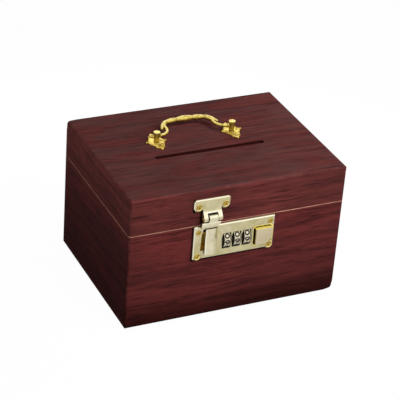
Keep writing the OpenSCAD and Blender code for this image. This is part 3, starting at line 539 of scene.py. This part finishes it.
# The plate's relief, in millimetres: how thick it is, and how high its parts stand on that.
plate_thick, plate_least = 1.05, 0.12
rim_high, rim_share, rim_wide = 0.5, 0.87, 0.11
edge_fall, edge_share = 0.55, 0.93
boss_high, boss_reach, vein_wide = 0.5, 4.6, 0.8
along_vein_high, cross_vein_high = 0.45, 0.5
bead_high, bead_place, bead_reach = 0.6, 9.0, 1.3
leaf_high, leaf_foot, leaf_wide, leaf_reach = 0.44, 4.6, 0.7, 5.0
screw_place, sink_reach, sink_inner, sink_thick, sink_foot = 9.0, 2.9, 1.9, 0.35, 0.55


def built_mesh(name, work, finish):
    """The mesh of a piece built from nothing, smooth and under its finish."""
    bmesh.ops.recalc_face_normals(work, faces=work.faces)
    mesh = bpy.data.meshes.new(name)
    work.to_mesh(mesh)
    work.free()
    mesh.materials.append(finish)
    mesh.shade_smooth()
    return mesh


def plate_outline(angle):
    """How far the plate reaches at an angle from its middle."""
    dx, dy = abs(math.cos(angle)), abs(math.sin(angle))
    for (ax, ay), (bx, by) in zip(plate_corners, plate_corners[1:]):
        if ax * dy - ay * dx >= -1e-9 and bx * dy - by * dx <= 1e-9:
            cross = (bx - ax) * dy - (by - ay) * dx
            if abs(cross) > 1e-9:
                return (ay * (bx - ax) - ax * (by - ay)) / cross
    return plate_corners[-1][1]


def swell(distance, width):
    """A round bump: 1 at its middle, 0 from its width on."""
    return 0.0 if distance >= width else 0.5 + 0.5 * math.cos(math.pi * distance / width)


def plate_relief(px, py, share):
    """The plate's height: a rolled rim, a boss, four veins, beads, leaves and screw seats."""
    across, along = abs(px), abs(py)
    rim = rim_high * swell(abs(share - rim_share), rim_wide)
    fall = max(0.0, (share - edge_share) / (1.0 - edge_share))
    height = plate_thick + rim - edge_fall * fall ** 2
    height += boss_high * swell(math.hypot(px, py), boss_reach)
    if 4.0 < along < 6.6:
        height += along_vein_high * swell(across, vein_wide)
    if 4.0 < across < 7.6:
        height += cross_vein_high * swell(along, vein_wide)
    height += bead_high * swell(math.hypot(across - bead_place, py), bead_reach)
    if across < leaf_reach:
        height += leaf_high * swell(abs(along - leaf_foot - 0.5 * across), leaf_wide)
    sink = math.hypot(px, along - screw_place)
    if sink <= sink_inner:
        height = sink_thick
    elif sink < sink_reach:
        height = min(height, sink_foot + 0.95 * (sink - sink_inner))
    return max(plate_least, height)


def cast_plate(name, node, x):
    """One of the handle's plates under its outline, with its relief on top."""
    work = bmesh.new()
    rows = []
    for ring in range(1, plate_rings + 1):
        share = ring / plate_rings
        row = []
        for turn in range(plate_turns):
            angle = 2.0 * math.pi * turn / plate_turns
            radius = plate_outline(angle) * share
            px, py = radius * math.cos(angle), radius * math.sin(angle)
            top = lid_top + plate_relief(px, py, share) * MM
            row.append(work.verts.new((x + px * MM, handle_y + py * MM, top)))
        rows.append(row)
    middle_top = lid_top + plate_relief(0.0, 0.0, 0.0) * MM
    centre = work.verts.new((x, handle_y, middle_top))
    foot = [work.verts.new((v.co.x, v.co.y, lid_top)) for v in rows[-1]]
    under = work.verts.new((x, handle_y, lid_top))
    for turn in range(plate_turns):
        after = (turn + 1) % plate_turns
        work.faces.new((centre, rows[0][turn], rows[0][after]))
        for inner, outer in zip(rows, rows[1:]):
            work.faces.new((inner[turn], outer[turn], outer[after], inner[after]))
        work.faces.new((rows[-1][turn], foot[turn], foot[after], rows[-1][after]))
        work.faces.new((under, foot[after], foot[turn]))
    new_piece(name, built_mesh(name, work, plate_brass), "lid", node)


for side, x in zip(("left", "right"), post_xs):
    cast_plate(f"{side}_cast_plate", f"{side}_leaf_plate", x)
    softened(
        f"{side}_turned_post", f"{side}_post", post_roll, (handle_brass, brass_edge), "lid",
    )

# Half of the grip, from its middle to its pin, and the curl that leaves it. Each station
# says how far it lies across and out from the pins' line, and its radius, in millimetres.
bail_half = (
    (0.0, 23.0, 2.95), (3.0, 23.0, 2.8), (6.0, 22.95, 2.3), (7.8, 22.9, 1.85), (9.0, 22.8, 2.15),
    (12.7, 22.2, 2.45), (16.0, 21.7, 2.15), (17.7, 21.4, 1.8), (19.4, 20.6, 2.0), (21.4, 18.3, 2.0),
    (22.5, 14.9, 1.55), (22.5, 11.6, 1.4), (22.7, 8.8, 1.4), (23.6, 5.5, 1.4), (25.7, 2.6, 1.4),
    (28.6, 0.6, 1.4), (31.4, 0.0, 1.4),
)
bail_curl = (
    (17.2, 21.9, 1.5), (19.2, 20.6, 2.0), (21.6, 17.9, 2.3), (23.8, 15.0, 2.0), (25.4, 12.6, 1.3),
    (26.2, 11.0, 1.0),
)
curl_tip, curl_tip_radius = (26.2, 10.9), 1.25 * MM
# The grip's end, its collar and its pin: where each starts and stops, and its radius.
bail_ends = ((31.6, 32.0, 1.4), (32.0, 33.0, 1.7), (32.9, 37.9, 1.1))
bar_turns, bail_steps = 20, 6
casting_cell = 0.28 * MM


def sweep(work, points, radii):
    """A round bar through the points, with a radius at each, closed at both ends."""
    rings = []
    count = len(points)
    for index, (point, radius) in enumerate(zip(points, radii)):
        ahead = points[min(index + 1, count - 1)] - points[max(index - 1, 0)]
        ahead.normalize()
        flat = Vector((0.0, 0.0, 1.0))
        across = ahead.cross(flat).normalized()
        ring = []
        for turn in range(bar_turns):
            angle = 2.0 * math.pi * turn / bar_turns
            offset = across * math.cos(angle) + flat * math.sin(angle)
            ring.append(work.verts.new(point + offset * radius))
        rings.append(ring)
    for first, second in zip(rings, rings[1:]):
        for turn in range(bar_turns):
            after = (turn + 1) % bar_turns
            work.faces.new((first[turn], first[after], second[after], second[turn]))
    work.faces.new(list(reversed(rings[0])))
    work.faces.new(rings[-1])


def smooth_path(stations, steps):
    """A Catmull-Rom curve through (x, y, radius) stations, as flat points and radii."""
    path, radii = [], []
    for index in range(len(stations) - 1):
        knots = [stations[max(0, min(len(stations) - 1, index + k))] for k in (-1, 0, 1, 2)]
        for step in range(steps):
            t = step / steps
            p = [
                0.5 * (
                    2 * b + (c - a) * t + (2 * a - 5 * b + 4 * c - d) * t * t
                    + (3 * b - a - 3 * c + d) * t ** 3
                )
                for a, b, c, d in zip(*knots)
            ]
            path.append(Vector((p[0], p[1], 0.0)))
            radii.append(p[2])
    path.append(Vector((stations[-1][0], stations[-1][1], 0.0)))
    radii.append(stations[-1][2])
    return path, radii


def bail_point(hand, x, y):
    """A point on one half of the bail, from millimetres across and out."""
    return Vector((fit_x + hand * x * MM, handle_y + y * MM, bail_z))


work = bmesh.new()
for hand in (-1, 1):
    for stations in (bail_half, bail_curl):
        path, radii = smooth_path(stations, bail_steps)
        sweep(work, [bail_point(hand, p.x, p.y) for p in path], [r * MM for r in radii])
    tip = Matrix.Translation(bail_point(hand, *curl_tip))
    bmesh.ops.create_icosphere(work, subdivisions=3, radius=curl_tip_radius, matrix=tip)
    for start, stop, radius in bail_ends:
        line = [bail_point(hand, x, 0.0) for x in (start, (start + stop) / 2, stop)]
        sweep(work, line, [radius * MM] * 3)
bail_mesh = built_mesh("cast_bail", work, handle_brass)
bail = new_piece("cast_bail", bail_mesh, "bail", "bail")
skin = bail.modifiers.new("one_casting", "REMESH")
skin.mode = "VOXEL"
skin.voxel_size = casting_cell
skin.use_smooth_shade = True
rounding = bail.modifiers.new("rounding", "SMOOTH")
rounding.factor = 0.5
rounding.iterations = 4

# ---------- hasp ----------
# A cast plate on the lid whose neck curls over the pin, and a lever that hangs from the
# pin with its staple in the lock. Both are plated a pale champagne gold.
# Painted shade and painted light for the sides, and a painted highlight for rolled edges.
painted_side_shade, painted_side_light, painted_edge_highlight = shade(92, 78, 36), shade(222, 212, 172), shade(234, 227, 198)
olive_plating, pale_plating = shade(170, 160, 108), shade(218, 210, 178)
# Painted shade for the lever's plating, and a painted highlight for the tongue's left edge.
painted_plating_shade, painted_left_highlight = shade(166, 154, 108), shade(244, 239, 220)
# Painted shadow in the step under the cap, and painted shade beside the knuckle.
painted_step_shadow, painted_knuckle_shade = shade(64, 54, 28), shade(26, 19, 8)
hasp_x, cap_top, cap_foot, knuckle_half = -26.8 * MM, 95.0 * MM, 89.9 * MM, 4.5 * MM
tongue_left = hasp_x - 5.2 * MM
hasp_roll, lever_roll, seat_turns = 0.7 * MM, 0.8 * MM, 40
# The plate's face, in millimetres as the seats' places below are.
hasp_face_y = -77.0


def bright_edges(place, facing, tone):
    """Rolled edges carry a painted highlight; sides that look up or left are painted light and
    those that look down or right painted shade.
    """
    front = abs(facing.part("Y"))
    rolled = front.ramp(0.96, 0.88) * front.ramp(0.3, 0.45)
    side = front.ramp(0.45, 0.3)
    lit = facing.part("Z") - facing.part("X") * 0.6
    sides = lit.ramp(-0.3, 0.3).mix(painted_side_shade, painted_side_light)
    sheen = place.noise(60.0, 2.0, 0.5, 0.8)
    olive = (sheen.ramp(0.5, 0.66) * 0.45).mix(tone, olive_plating)
    clouded = (sheen.ramp(0.48, 0.34) * 0.45).mix(olive, pale_plating)
    return rolled.mix(side.mix(clouded, sides), painted_edge_highlight)


champagne = metal(
    "champagne", shade(194, 184, 144), shade(70, 52, 20), 0.3, crease=2.2 * MM, tint=bright_edges
)
# A lighter finish for the rolled edges, as a painted highlight.
champagne_edge = metal(
    "champagne_edge", shade(238, 231, 204), shade(96, 76, 34), 0.24,
    crease=1.2 * MM, tint=bright_edges,
)


def lever_lines(place, facing, tone):
    """Painted shadow in the step under the cap, painted shade beside the knuckle, low on the cap
    and towards the tongue's right; a painted highlight on the tongue's left edge.
    """
    height = place.part("Z")
    across = place.part("X")
    below_cap = height.ramp(cap_foot + 0.05 * MM, cap_foot - 0.05 * MM)
    edge_toned = across.ramp(tongue_left + 1.1 * MM, tongue_left + 0.7 * MM) * below_cap
    hollow_shade = across.ramp(hasp_x + 1.5 * MM, hasp_x + 4.2 * MM) * below_cap * 0.45
    curved = hollow_shade.mix(bright_edges(place, facing, tone), painted_plating_shade)
    cap_shade = height.ramp(cap_foot + 3.2 * MM, cap_foot + 0.6 * MM) * (1.0 - below_cap) * 0.4
    rolled = cap_shade.mix(curved, painted_plating_shade)
    shaped = edge_toned.mix(rolled, painted_left_highlight)
    step = height.ramp(cap_foot - 1.5 * MM, cap_foot - 1.0 * MM) * below_cap
    stepped = step.mix(shaped, painted_step_shadow)
    beside = (hasp_x - across).ramp(knuckle_half - 1.2 * MM, knuckle_half - 0.9 * MM)
    return (beside * height.ramp(cap_top, cap_top + 0.3 * MM)).mix(stepped, painted_knuckle_shade)


lever_face = metal(
    "lever_face", shade(212, 204, 174), shade(60, 44, 16), 0.3, crease=2.0 * MM, tint=lever_lines
)
# A lighter finish for the rolled edges, as a painted highlight.
lever_edge = metal(
    "lever_edge", shade(238, 232, 208), shade(60, 44, 16), 0.24, crease=2.0 * MM, tint=lever_lines
)
hasp_finishes, lever_finishes = (champagne, champagne_edge), (lever_face, lever_edge)
softened("hasp_casting", "hasp_plate", hasp_roll, hasp_finishes, "lid")
softened("lever_casting", "hasp_lever", lever_roll, lever_finishes, "lever")


def screw_seat(name, profile, middle, body):
    """A dished ring turned from a closed (radius, height) profile, facing the front."""
    work = bmesh.new()
    lean = Vector((0.0, 0.0, 1.0)).rotation_difference(Vector((0.0, -1.0, 0.0))).to_matrix()
    rows = []
    for turn in range(seat_turns):
        angle = 2.0 * math.pi * turn / seat_turns
        spoke = Vector((math.cos(angle), math.sin(angle), 0.0))
        rows.append([
            work.verts.new(middle + lean @ (spoke * r * MM + Vector((0.0, 0.0, h * MM))))
            for r, h in profile
        ])
    for turn in range(seat_turns):
        row, after = rows[turn], rows[(turn + 1) % seat_turns]
        for index in range(len(profile)):
            beyond = (index + 1) % len(profile)
            work.faces.new((row[index], after[index], after[beyond], row[beyond]))
    new_piece(name, built_mesh(name, work, seat_gold), body)


# Painted shade for the half of each dish that looks down.
dish_shadow = shade(124, 88, 16)


def dish_light_and_shade(place, facing, tone):
    """Painted shade: the half of a dish that looks down is dark gold, and the half that looks up is
    bright.
    """
    lit = facing.part("Z") - facing.part("X") * 0.4
    return lit.ramp(-0.15, 0.2).mix(dish_shadow, tone)


seat_gold = metal(
    "seat_gold", shade(246, 226, 146), shade(66, 46, 12), 0.24, crease=1.0 * MM, tint=dish_light_and_shade
)
seat_profile = (
    (2.12, -0.05), (2.2, 0.12), (2.45, 0.3), (2.8, 0.42), (3.15, 0.4), (3.35, 0.25), (3.42, -0.05),
)
hasp_seats = ((-38.9, 109.7), (-14.7, 109.7))
for side, (x, z) in zip(("left", "right"), hasp_seats):
    screw_seat(f"{side}_hasp_seat", seat_profile, Vector((x, hasp_face_y, z)) * MM, "lid")
finish_nodes(brass, "hasp_pin")

# ---------- lock works ----------
# A gold-plated case let into the front board, a steel spindle with three brass cams, a
# click spring of steel, and the zinc slide bar that the button moves.
zinc = metal("zinc", shade(134, 132, 122), shade(50, 48, 42), 0.36)
case_gold = metal(
    "case_gold", shade(250, 214, 100), shade(240, 196, 76), 0.5, metallic=0.85, crease=2.5 * MM
)
finish_nodes(zinc, "slide_bar")
finish_nodes(case_gold, "lock_case")
finish_nodes(steel, "dial_spindle", "click_spring")
finish_nodes(brass, "left_cam", "middle_cam", "right_cam")

# ---------- dials ----------
# Three plated drums with grip notches in both rims, and the numbers 0 to 9 stamped round
# each and filled dark.
dial_xs = (-11.35 * MM, -2.1 * MM, 7.15 * MM)
dial_pitch = dial_xs[1] - dial_xs[0]
dial_half = 3.5 * MM
# Painted shade for the drums' notches and flanks.
painted_rim_shade = shade(24, 17, 12)


def dark_rims(place, facing, tone):
    """Painted shade in the notches and on the flanks of each drum."""
    off_middle = place.math("PINGPONG", place.part("X") - dial_xs[1], dial_pitch / 2)
    rim = off_middle.ramp(dial_half - 1.15 * MM, dial_half - 0.6 * MM)
    flank = abs(facing.part("X")).ramp(0.5, 0.8)
    return rim.larger(flank).mix(tone, painted_rim_shade)


dial_finish = metal(
    "dial_metal", shade(206, 196, 168), shade(26, 18, 11), 0.34,
    metallic=0.8, crease=2.4 * MM, tint=dark_rims,
)
ink = metal("number_ink", shade(24, 16, 12), shade(18, 12, 9), 0.6, metallic=0.0)
dial_y, dial_z, dial_r = -70.3 * MM, 73.35 * MM, 9.5 * MM
number_high, number_wide, stroke_wide = 3.6 * MM, 3.5 * MM, 1.2 * MM
read_angle, number_step = math.radians(31.0), math.radians(36.0)
number_count, stroke_steps, drum_roll = 10, 4, 0.15 * MM
# The ink's four edges: left or right of the stroke's line, and how far off the drum.
ink_edges = ((1, 0.04 * MM), (-1, 0.04 * MM), (-1, -0.08 * MM), (1, -0.08 * MM))
# Each number's strokes, in a square that is one unit wide and high.
round_top = ((0.0, 0.72), (0.12, 0.93), (0.5, 1.0), (0.88, 0.93), (1.0, 0.72))
ring = (
    (0.0, 0.5), (0.08, 0.82), (0.5, 1.0), (0.92, 0.82), (1.0, 0.5), (0.92, 0.18), (0.5, 0.0),
    (0.08, 0.18),
)
ring += ring[:1]
high_ring = tuple((x, 0.42 + y * 0.58) for x, y in ring)
low_ring = tuple((x, y * 0.54) for x, y in ring)
small_ring = tuple((0.08 + x * 0.84, 0.54 + y * 0.46) for x, y in ring)
strokes = {
    0: (ring,),
    1: (((0.2, 0.78), (0.55, 1.0)), ((0.55, 1.0), (0.55, 0.0))),
    2: (round_top + ((0.8, 0.45), (0.0, 0.0)), ((0.0, 0.0), (1.0, 0.0))),
    3: (
        round_top[1:] + ((0.8, 0.56), (0.4, 0.53)),
        ((0.4, 0.53), (0.85, 0.48), (1.0, 0.27), (0.85, 0.06), (0.45, 0.0), (0.0, 0.1)),
    ),
    4: (((0.7, 1.0), (0.0, 0.3)), ((0.0, 0.3), (1.0, 0.3)), ((0.7, 1.0), (0.7, 0.0))),
    5: (
        ((0.95, 1.0), (0.1, 1.0)),
        ((0.1, 1.0), (0.05, 0.55)),
        (
            (0.05, 0.55), (0.5, 0.64), (0.95, 0.5), (1.0, 0.28), (0.85, 0.07), (0.45, 0.0),
            (0.0, 0.08),
        ),
    ),
    6: (low_ring, ((0.0, 0.27), (0.05, 0.65), (0.35, 0.92), (0.8, 1.0))),
    7: (((0.0, 1.0), (1.0, 1.0)), ((1.0, 1.0), (0.35, 0.0))),
    8: (low_ring, small_ring),
    9: (high_ring, ((1.0, 0.71), (0.95, 0.35), (0.65, 0.08), (0.2, 0.0))),
}


def number_mesh(work, digit, middle_x, angle):
    """One number, drawn in rounded strokes and wrapped on the drum."""
    for stroke in strokes[digit]:
        stations = [(x * number_wide, y * number_high, stroke_wide / 2) for x, y in stroke]
        path, radii = smooth_path(stations, stroke_steps)
        closed = stroke[0] == stroke[-1]
        if closed:
            path.pop()
        rails = []
        for index, (point, radius) in enumerate(zip(path, radii)):
            before, after = path[index - 1], path[(index + 1) % len(path)]
            if not closed:
                before, after = path[max(index - 1, 0)], path[min(index + 1, len(path) - 1)]
            ahead = after - before
            across = Vector((-ahead.y, ahead.x, 0.0)).normalized() * radius
            rail = []
            for side, lift in ink_edges:
                spot = point + across * side
                turn = angle + (spot.y - number_high / 2) / dial_r
                reach = dial_r + lift
                rail.append(work.verts.new((
                    middle_x + spot.x - number_wide / 2, dial_y - reach * math.cos(turn),
                    dial_z + reach * math.sin(turn),
                )))
            rails.append(rail)
        for rail, after in zip(rails, rails[1:] + (rails[:1] if closed else [])):
            for index in range(4):
                beyond = (index + 1) % 4
                work.faces.new((rail[index], after[index], after[beyond], rail[beyond]))
        if not closed:
            work.faces.new(rails[0])
            work.faces.new(rails[-1])


for side, x in zip(("left", "middle", "right"), dial_xs):
    dial = f"{side}_dial"
    softened(f"{side}_drum", dial, drum_roll, (dial_finish,), dial, 2)
    work = bmesh.new()
    for digit in range(number_count):
        number_mesh(work, digit, x, read_angle + digit * number_step)
    name = f"{side}_numbers"
    new_piece(name, built_mesh(name, work, ink), dial)

# ---------- lock plate ----------
# A cast plate with rolled edges and a raised rim round the button's opening, held by four
# screws in dished seats; the square button slides in its opening.

# Parts of the front: left, right, foot and top, in millimetres.
flat_face = (-41.2, 32.4, 60.3, 89.6)
dial_windows = (-17.1, 12.9, 64.4, 82.4)
staple_window = (-36.6, -16.0, 62.0, 88.0)
right_of_tongue = (-21.7, -20.9, 64.2, 89.0)
button_opening = (13.0, 32.2, 63.2, 83.0)
button_rim = (13.2, 32.0, 63.6, 82.8)
opening_back, opening_front = -76.9 * MM, -77.3 * MM
rim_back, rim_front = -77.55 * MM, -77.7 * MM
lock_face_y = -77.5
# A painted highlight for the plate's border, painted shade for the dial windows, and a painted gold
# glint for the staple window.
painted_border_highlight, painted_window_shade, painted_staple_glint = shade(238, 232, 206), shade(22, 16, 9), shade(214, 178, 74)
# Painted shadow beside the tongue, and the rim's gold.
painted_tongue_shadow, rim_gold = shade(140, 128, 76), shade(238, 216, 118)
# The opening's gold, and painted shade deep in its gap.
opening_gold, painted_gap_shade = shade(236, 212, 104), shade(26, 16, 6)
lock_roll, button_roll = 0.6 * MM, 0.8 * MM


def within(place, low_x, high_x, low_z, high_z, soft=0.2):
    """1 inside a rectangle of the front, given in millimetres."""
    x = place.part("X").ramp((low_x - soft) * MM, low_x * MM)
    z = place.part("Z").ramp((low_z - soft) * MM, low_z * MM)
    x_end = place.part("X").ramp((high_x + soft) * MM, high_x * MM)
    z_end = place.part("Z").ramp((high_z + soft) * MM, high_z * MM)
    return x * z * x_end * z_end


def lock_lines(place, facing, tone):
    """Painted shade on the dial windows' walls, a painted gold glint on the staple window's, a
    painted highlight round the border, painted shadow beside the tongue, painted shade deep in the
    button's opening, and a gold rim for the button.
    """
    wall = abs(facing.part("Y")).ramp(0.6, 0.35)
    front = 1.0 - wall
    border = (1.0 - within(place, *flat_face, soft=0.4)) * front * 0.8
    edged = border.mix(bright_edges(place, facing, tone), painted_border_highlight)
    windowed = (wall * within(place, *dial_windows)).mix(edged, painted_window_shade)
    stapled = (wall * within(place, *staple_window)).mix(windowed, painted_staple_glint)
    beside_tongue = within(place, *right_of_tongue, soft=0.5) * front * 0.7
    tongue_shadowed = beside_tongue.mix(stapled, painted_tongue_shadow)
    opening = place.part("Y").ramp(opening_front, opening_back).mix(opening_gold, painted_gap_shade)
    walled = (wall * within(place, *button_opening)).mix(tongue_shadowed, opening)
    rim = within(place, *button_rim, soft=0.3) * place.part("Y").ramp(rim_back, rim_front)
    return (rim * front).mix(walled, rim_gold)


lock_face = metal(
    "lock_face", shade(192, 182, 142), shade(70, 52, 20), 0.3, crease=2.2 * MM, tint=lock_lines
)
# A lighter finish for the rolled edges, as a painted highlight.
lock_edge = metal(
    "lock_edge", shade(238, 231, 204), shade(96, 76, 34), 0.24, crease=1.2 * MM, tint=lock_lines
)
lock_finishes = (lock_face, lock_edge)
softened("lock_casting", "lock_plate", lock_roll, lock_finishes, "case")

# Painted shade and painted light for the button's sides.
button_side_shade, button_side_light = shade(120, 92, 40), shade(228, 206, 96)
# Painted shade for the button's low right corner and across its face.
low_corner_shade, painted_face_shade = shade(110, 88, 42), shade(168, 150, 112)
button_middle_x_less_z = -49.75 * MM
gold_reach, gold_front, gold_back = 2.2 * MM, -78.5 * MM, -78.0 * MM
bright_front, bright_back = -80.2 * MM, -79.7 * MM


def button_walls(place, facing, tone):
    """Gold sides, painted light near the front and shade further back, then painted black shade
    deep in; the face is painted in shade towards its low right.
    """
    wall = abs(facing.part("Y")).ramp(0.75, 0.4)
    reach = facing.part("Z").ramp(0.4, 0.7) * gold_reach
    deep = (place.part("Y") - reach).ramp(gold_front, gold_back)
    golden = place.part("Y").ramp(bright_front, bright_back).mix(button_side_shade, button_side_light)
    low_right = place.part("X") - place.part("Z") - button_middle_x_less_z
    face_shaded = (low_right.ramp(-8.0 * MM, 12.0 * MM) * 0.4).mix(tone, painted_face_shade)
    shaded = (low_right.ramp(9.0 * MM, 11.2 * MM) * 0.7).mix(face_shaded, low_corner_shade)
    return wall.mix(shaded, deep.mix(golden, painted_gap_shade))


def button_metallic(place, facing):
    """Metal on the face, and plain colour on the sides."""
    return abs(facing.part("Y")).ramp(0.4, 0.75) * 0.9


button_face = metal(
    "button_face", shade(198, 184, 152), shade(150, 128, 70), 0.3,
    metallic=button_metallic, crease=0.4 * MM, tint=button_walls,
)
# A lighter finish for the rolled edges, as a painted highlight.
button_edge = metal(
    "button_edge", shade(250, 240, 204), shade(120, 100, 50), 0.24, crease=0.8 * MM
)
button_finishes = (button_face, button_edge)
softened("button_casting", "slide_button", button_roll, button_finishes, "bar")

hole_radius = seat_profile[0][0]
small_wide, small_high = 0.45, 0.6
small_seat = tuple(
    (hole_radius + (radius - hole_radius) * small_wide, height * small_high)
    for radius, height in seat_profile
)
lock_seats = (
    ("lower_left", -37.9, 62.05, seat_profile), ("lower_right", 29.1, 62.05, seat_profile),
    ("upper_left", -37.9, 85.45, small_seat), ("upper_right", 29.1, 85.45, small_seat),
)
for name, x, z, profile in lock_seats:
    screw_seat(f"{name}_lock_seat", profile, Vector((x, lock_face_y, z)) * MM, "case")

# ---------- floor and light ----------
# A plain white floor and an even sky. One large soft lamp stands above the front, and weak
# ones low on all four sides; two more are seen only as highlights in the metal.
floor_half, floor_gap = 4.0, 0.2 * MM
floor_glow, sky_dim, sky_bright = 0.98, 0.07, 1.0
white, pale_grey, dark_grey = ((level, level, level, 1.0) for level in (1.0, 0.9, 0.06))

floor_mesh = bpy.data.meshes.new("floor")
floor_work = bmesh.new()
bmesh.ops.create_grid(floor_work, x_segments=2, y_segments=2, size=floor_half)
floor_work.to_mesh(floor_mesh)
floor_work.free()
floor = bpy.data.objects.new("floor", floor_mesh)
floor.location.z = cad_low.z - floor_gap
bpy.context.scene.collection.objects.link(floor)


def seen_share(start):
    """1 where the camera, a reflection or a see-through path meets it, else 0."""
    rays = ("Is Camera Ray", "Is Glossy Ray", "Is Transmission Ray")
    camera_ray, mirror_ray, through = (start.node("ShaderNodeLightPath", output=r) for r in rays)
    return camera_ray.larger(mirror_ray).larger(through)


floor_finish = Finish("floor")
floor_tree = floor_finish.material.node_tree
seen = seen_share(floor_finish.place)
bounce = seen.node("ShaderNodeBsdfDiffuse", {}, {"Color": dark_grey})
pale = seen.node("ShaderNodeBsdfDiffuse", {}, {"Color": pale_grey})
glow = seen.node("ShaderNodeEmission", {}, {"Color": white, "Strength": 1.0})
shown = seen.node("ShaderNodeMixShader", {}, {0: floor_glow, 1: pale, 2: glow})
whole = seen.node("ShaderNodeMixShader", {}, {0: seen, 1: bounce, 2: shown})
floor_tree.links.new(whole.socket, floor_tree.nodes["Material Output"].inputs["Surface"])
floor_mesh.materials.append(floor_finish.material)

world = bpy.data.worlds.new("sky")
world.use_nodes = True
bpy.context.scene.world = world
sky = world.node_tree.nodes["Background"]
sky_seen = seen_share(Wire(sky.outputs["Background"]))
sky_level = sky_seen.mix_values(sky_dim, sky_bright)
sky.inputs["Color"].default_value = white
world.node_tree.links.new(sky_level.socket, sky.inputs["Strength"])


def soft_lamp(name, place, aim, size, power, shine=False):
    """A soft box: it either lights the box, or is only a reflection in the metal."""
    lamp = bpy.data.lights.new(name, "AREA")
    lamp.shape = "RECTANGLE"
    lamp.size, lamp.size_y = size
    lamp.energy = power
    thing = bpy.data.objects.new(name, lamp)
    thing.location = place
    thing.rotation_euler = (Vector(aim) - Vector(place)).to_track_quat("-Z", "Y").to_euler()
    thing.visible_camera = False
    thing.visible_glossy = shine
    thing.visible_diffuse = not shine
    bpy.context.scene.collection.objects.link(thing)


middle, seam_height, handle_height = ((0.0, 0.0, z) for z in (0.06, 0.09, 0.12))
large, medium, strip, thin_strip = (0.8, 0.8), (0.5, 0.5), (0.3, 0.1), (0.36, 0.03)
soft_lamp("key_lamp", (0.36, -0.54, 0.85), middle, large, 11.2)
soft_lamp("front_lamp", (0.03, -0.22, 0.12), seam_height, thin_strip, 0.2)
soft_lamp("left_lamp", (-0.16, 0.0, 0.125), (0.0, 0.0, 0.1), (0.3, 0.03), 0.05)
soft_lamp("right_lamp", (0.32, 0.1, 0.2), middle, strip, 0.4)
soft_lamp("back_lamp", (0.0, 0.4, 0.15), middle, strip, 0.6)
soft_lamp("front_shine", (0.36, -0.62, 0.8), middle, large, 0.7, shine=True)
soft_lamp("back_shine", (0.5, 1.0, 0.85), handle_height, medium, 0.7, shine=True)

bpy.context.scene.view_settings.view_transform = "Standard"
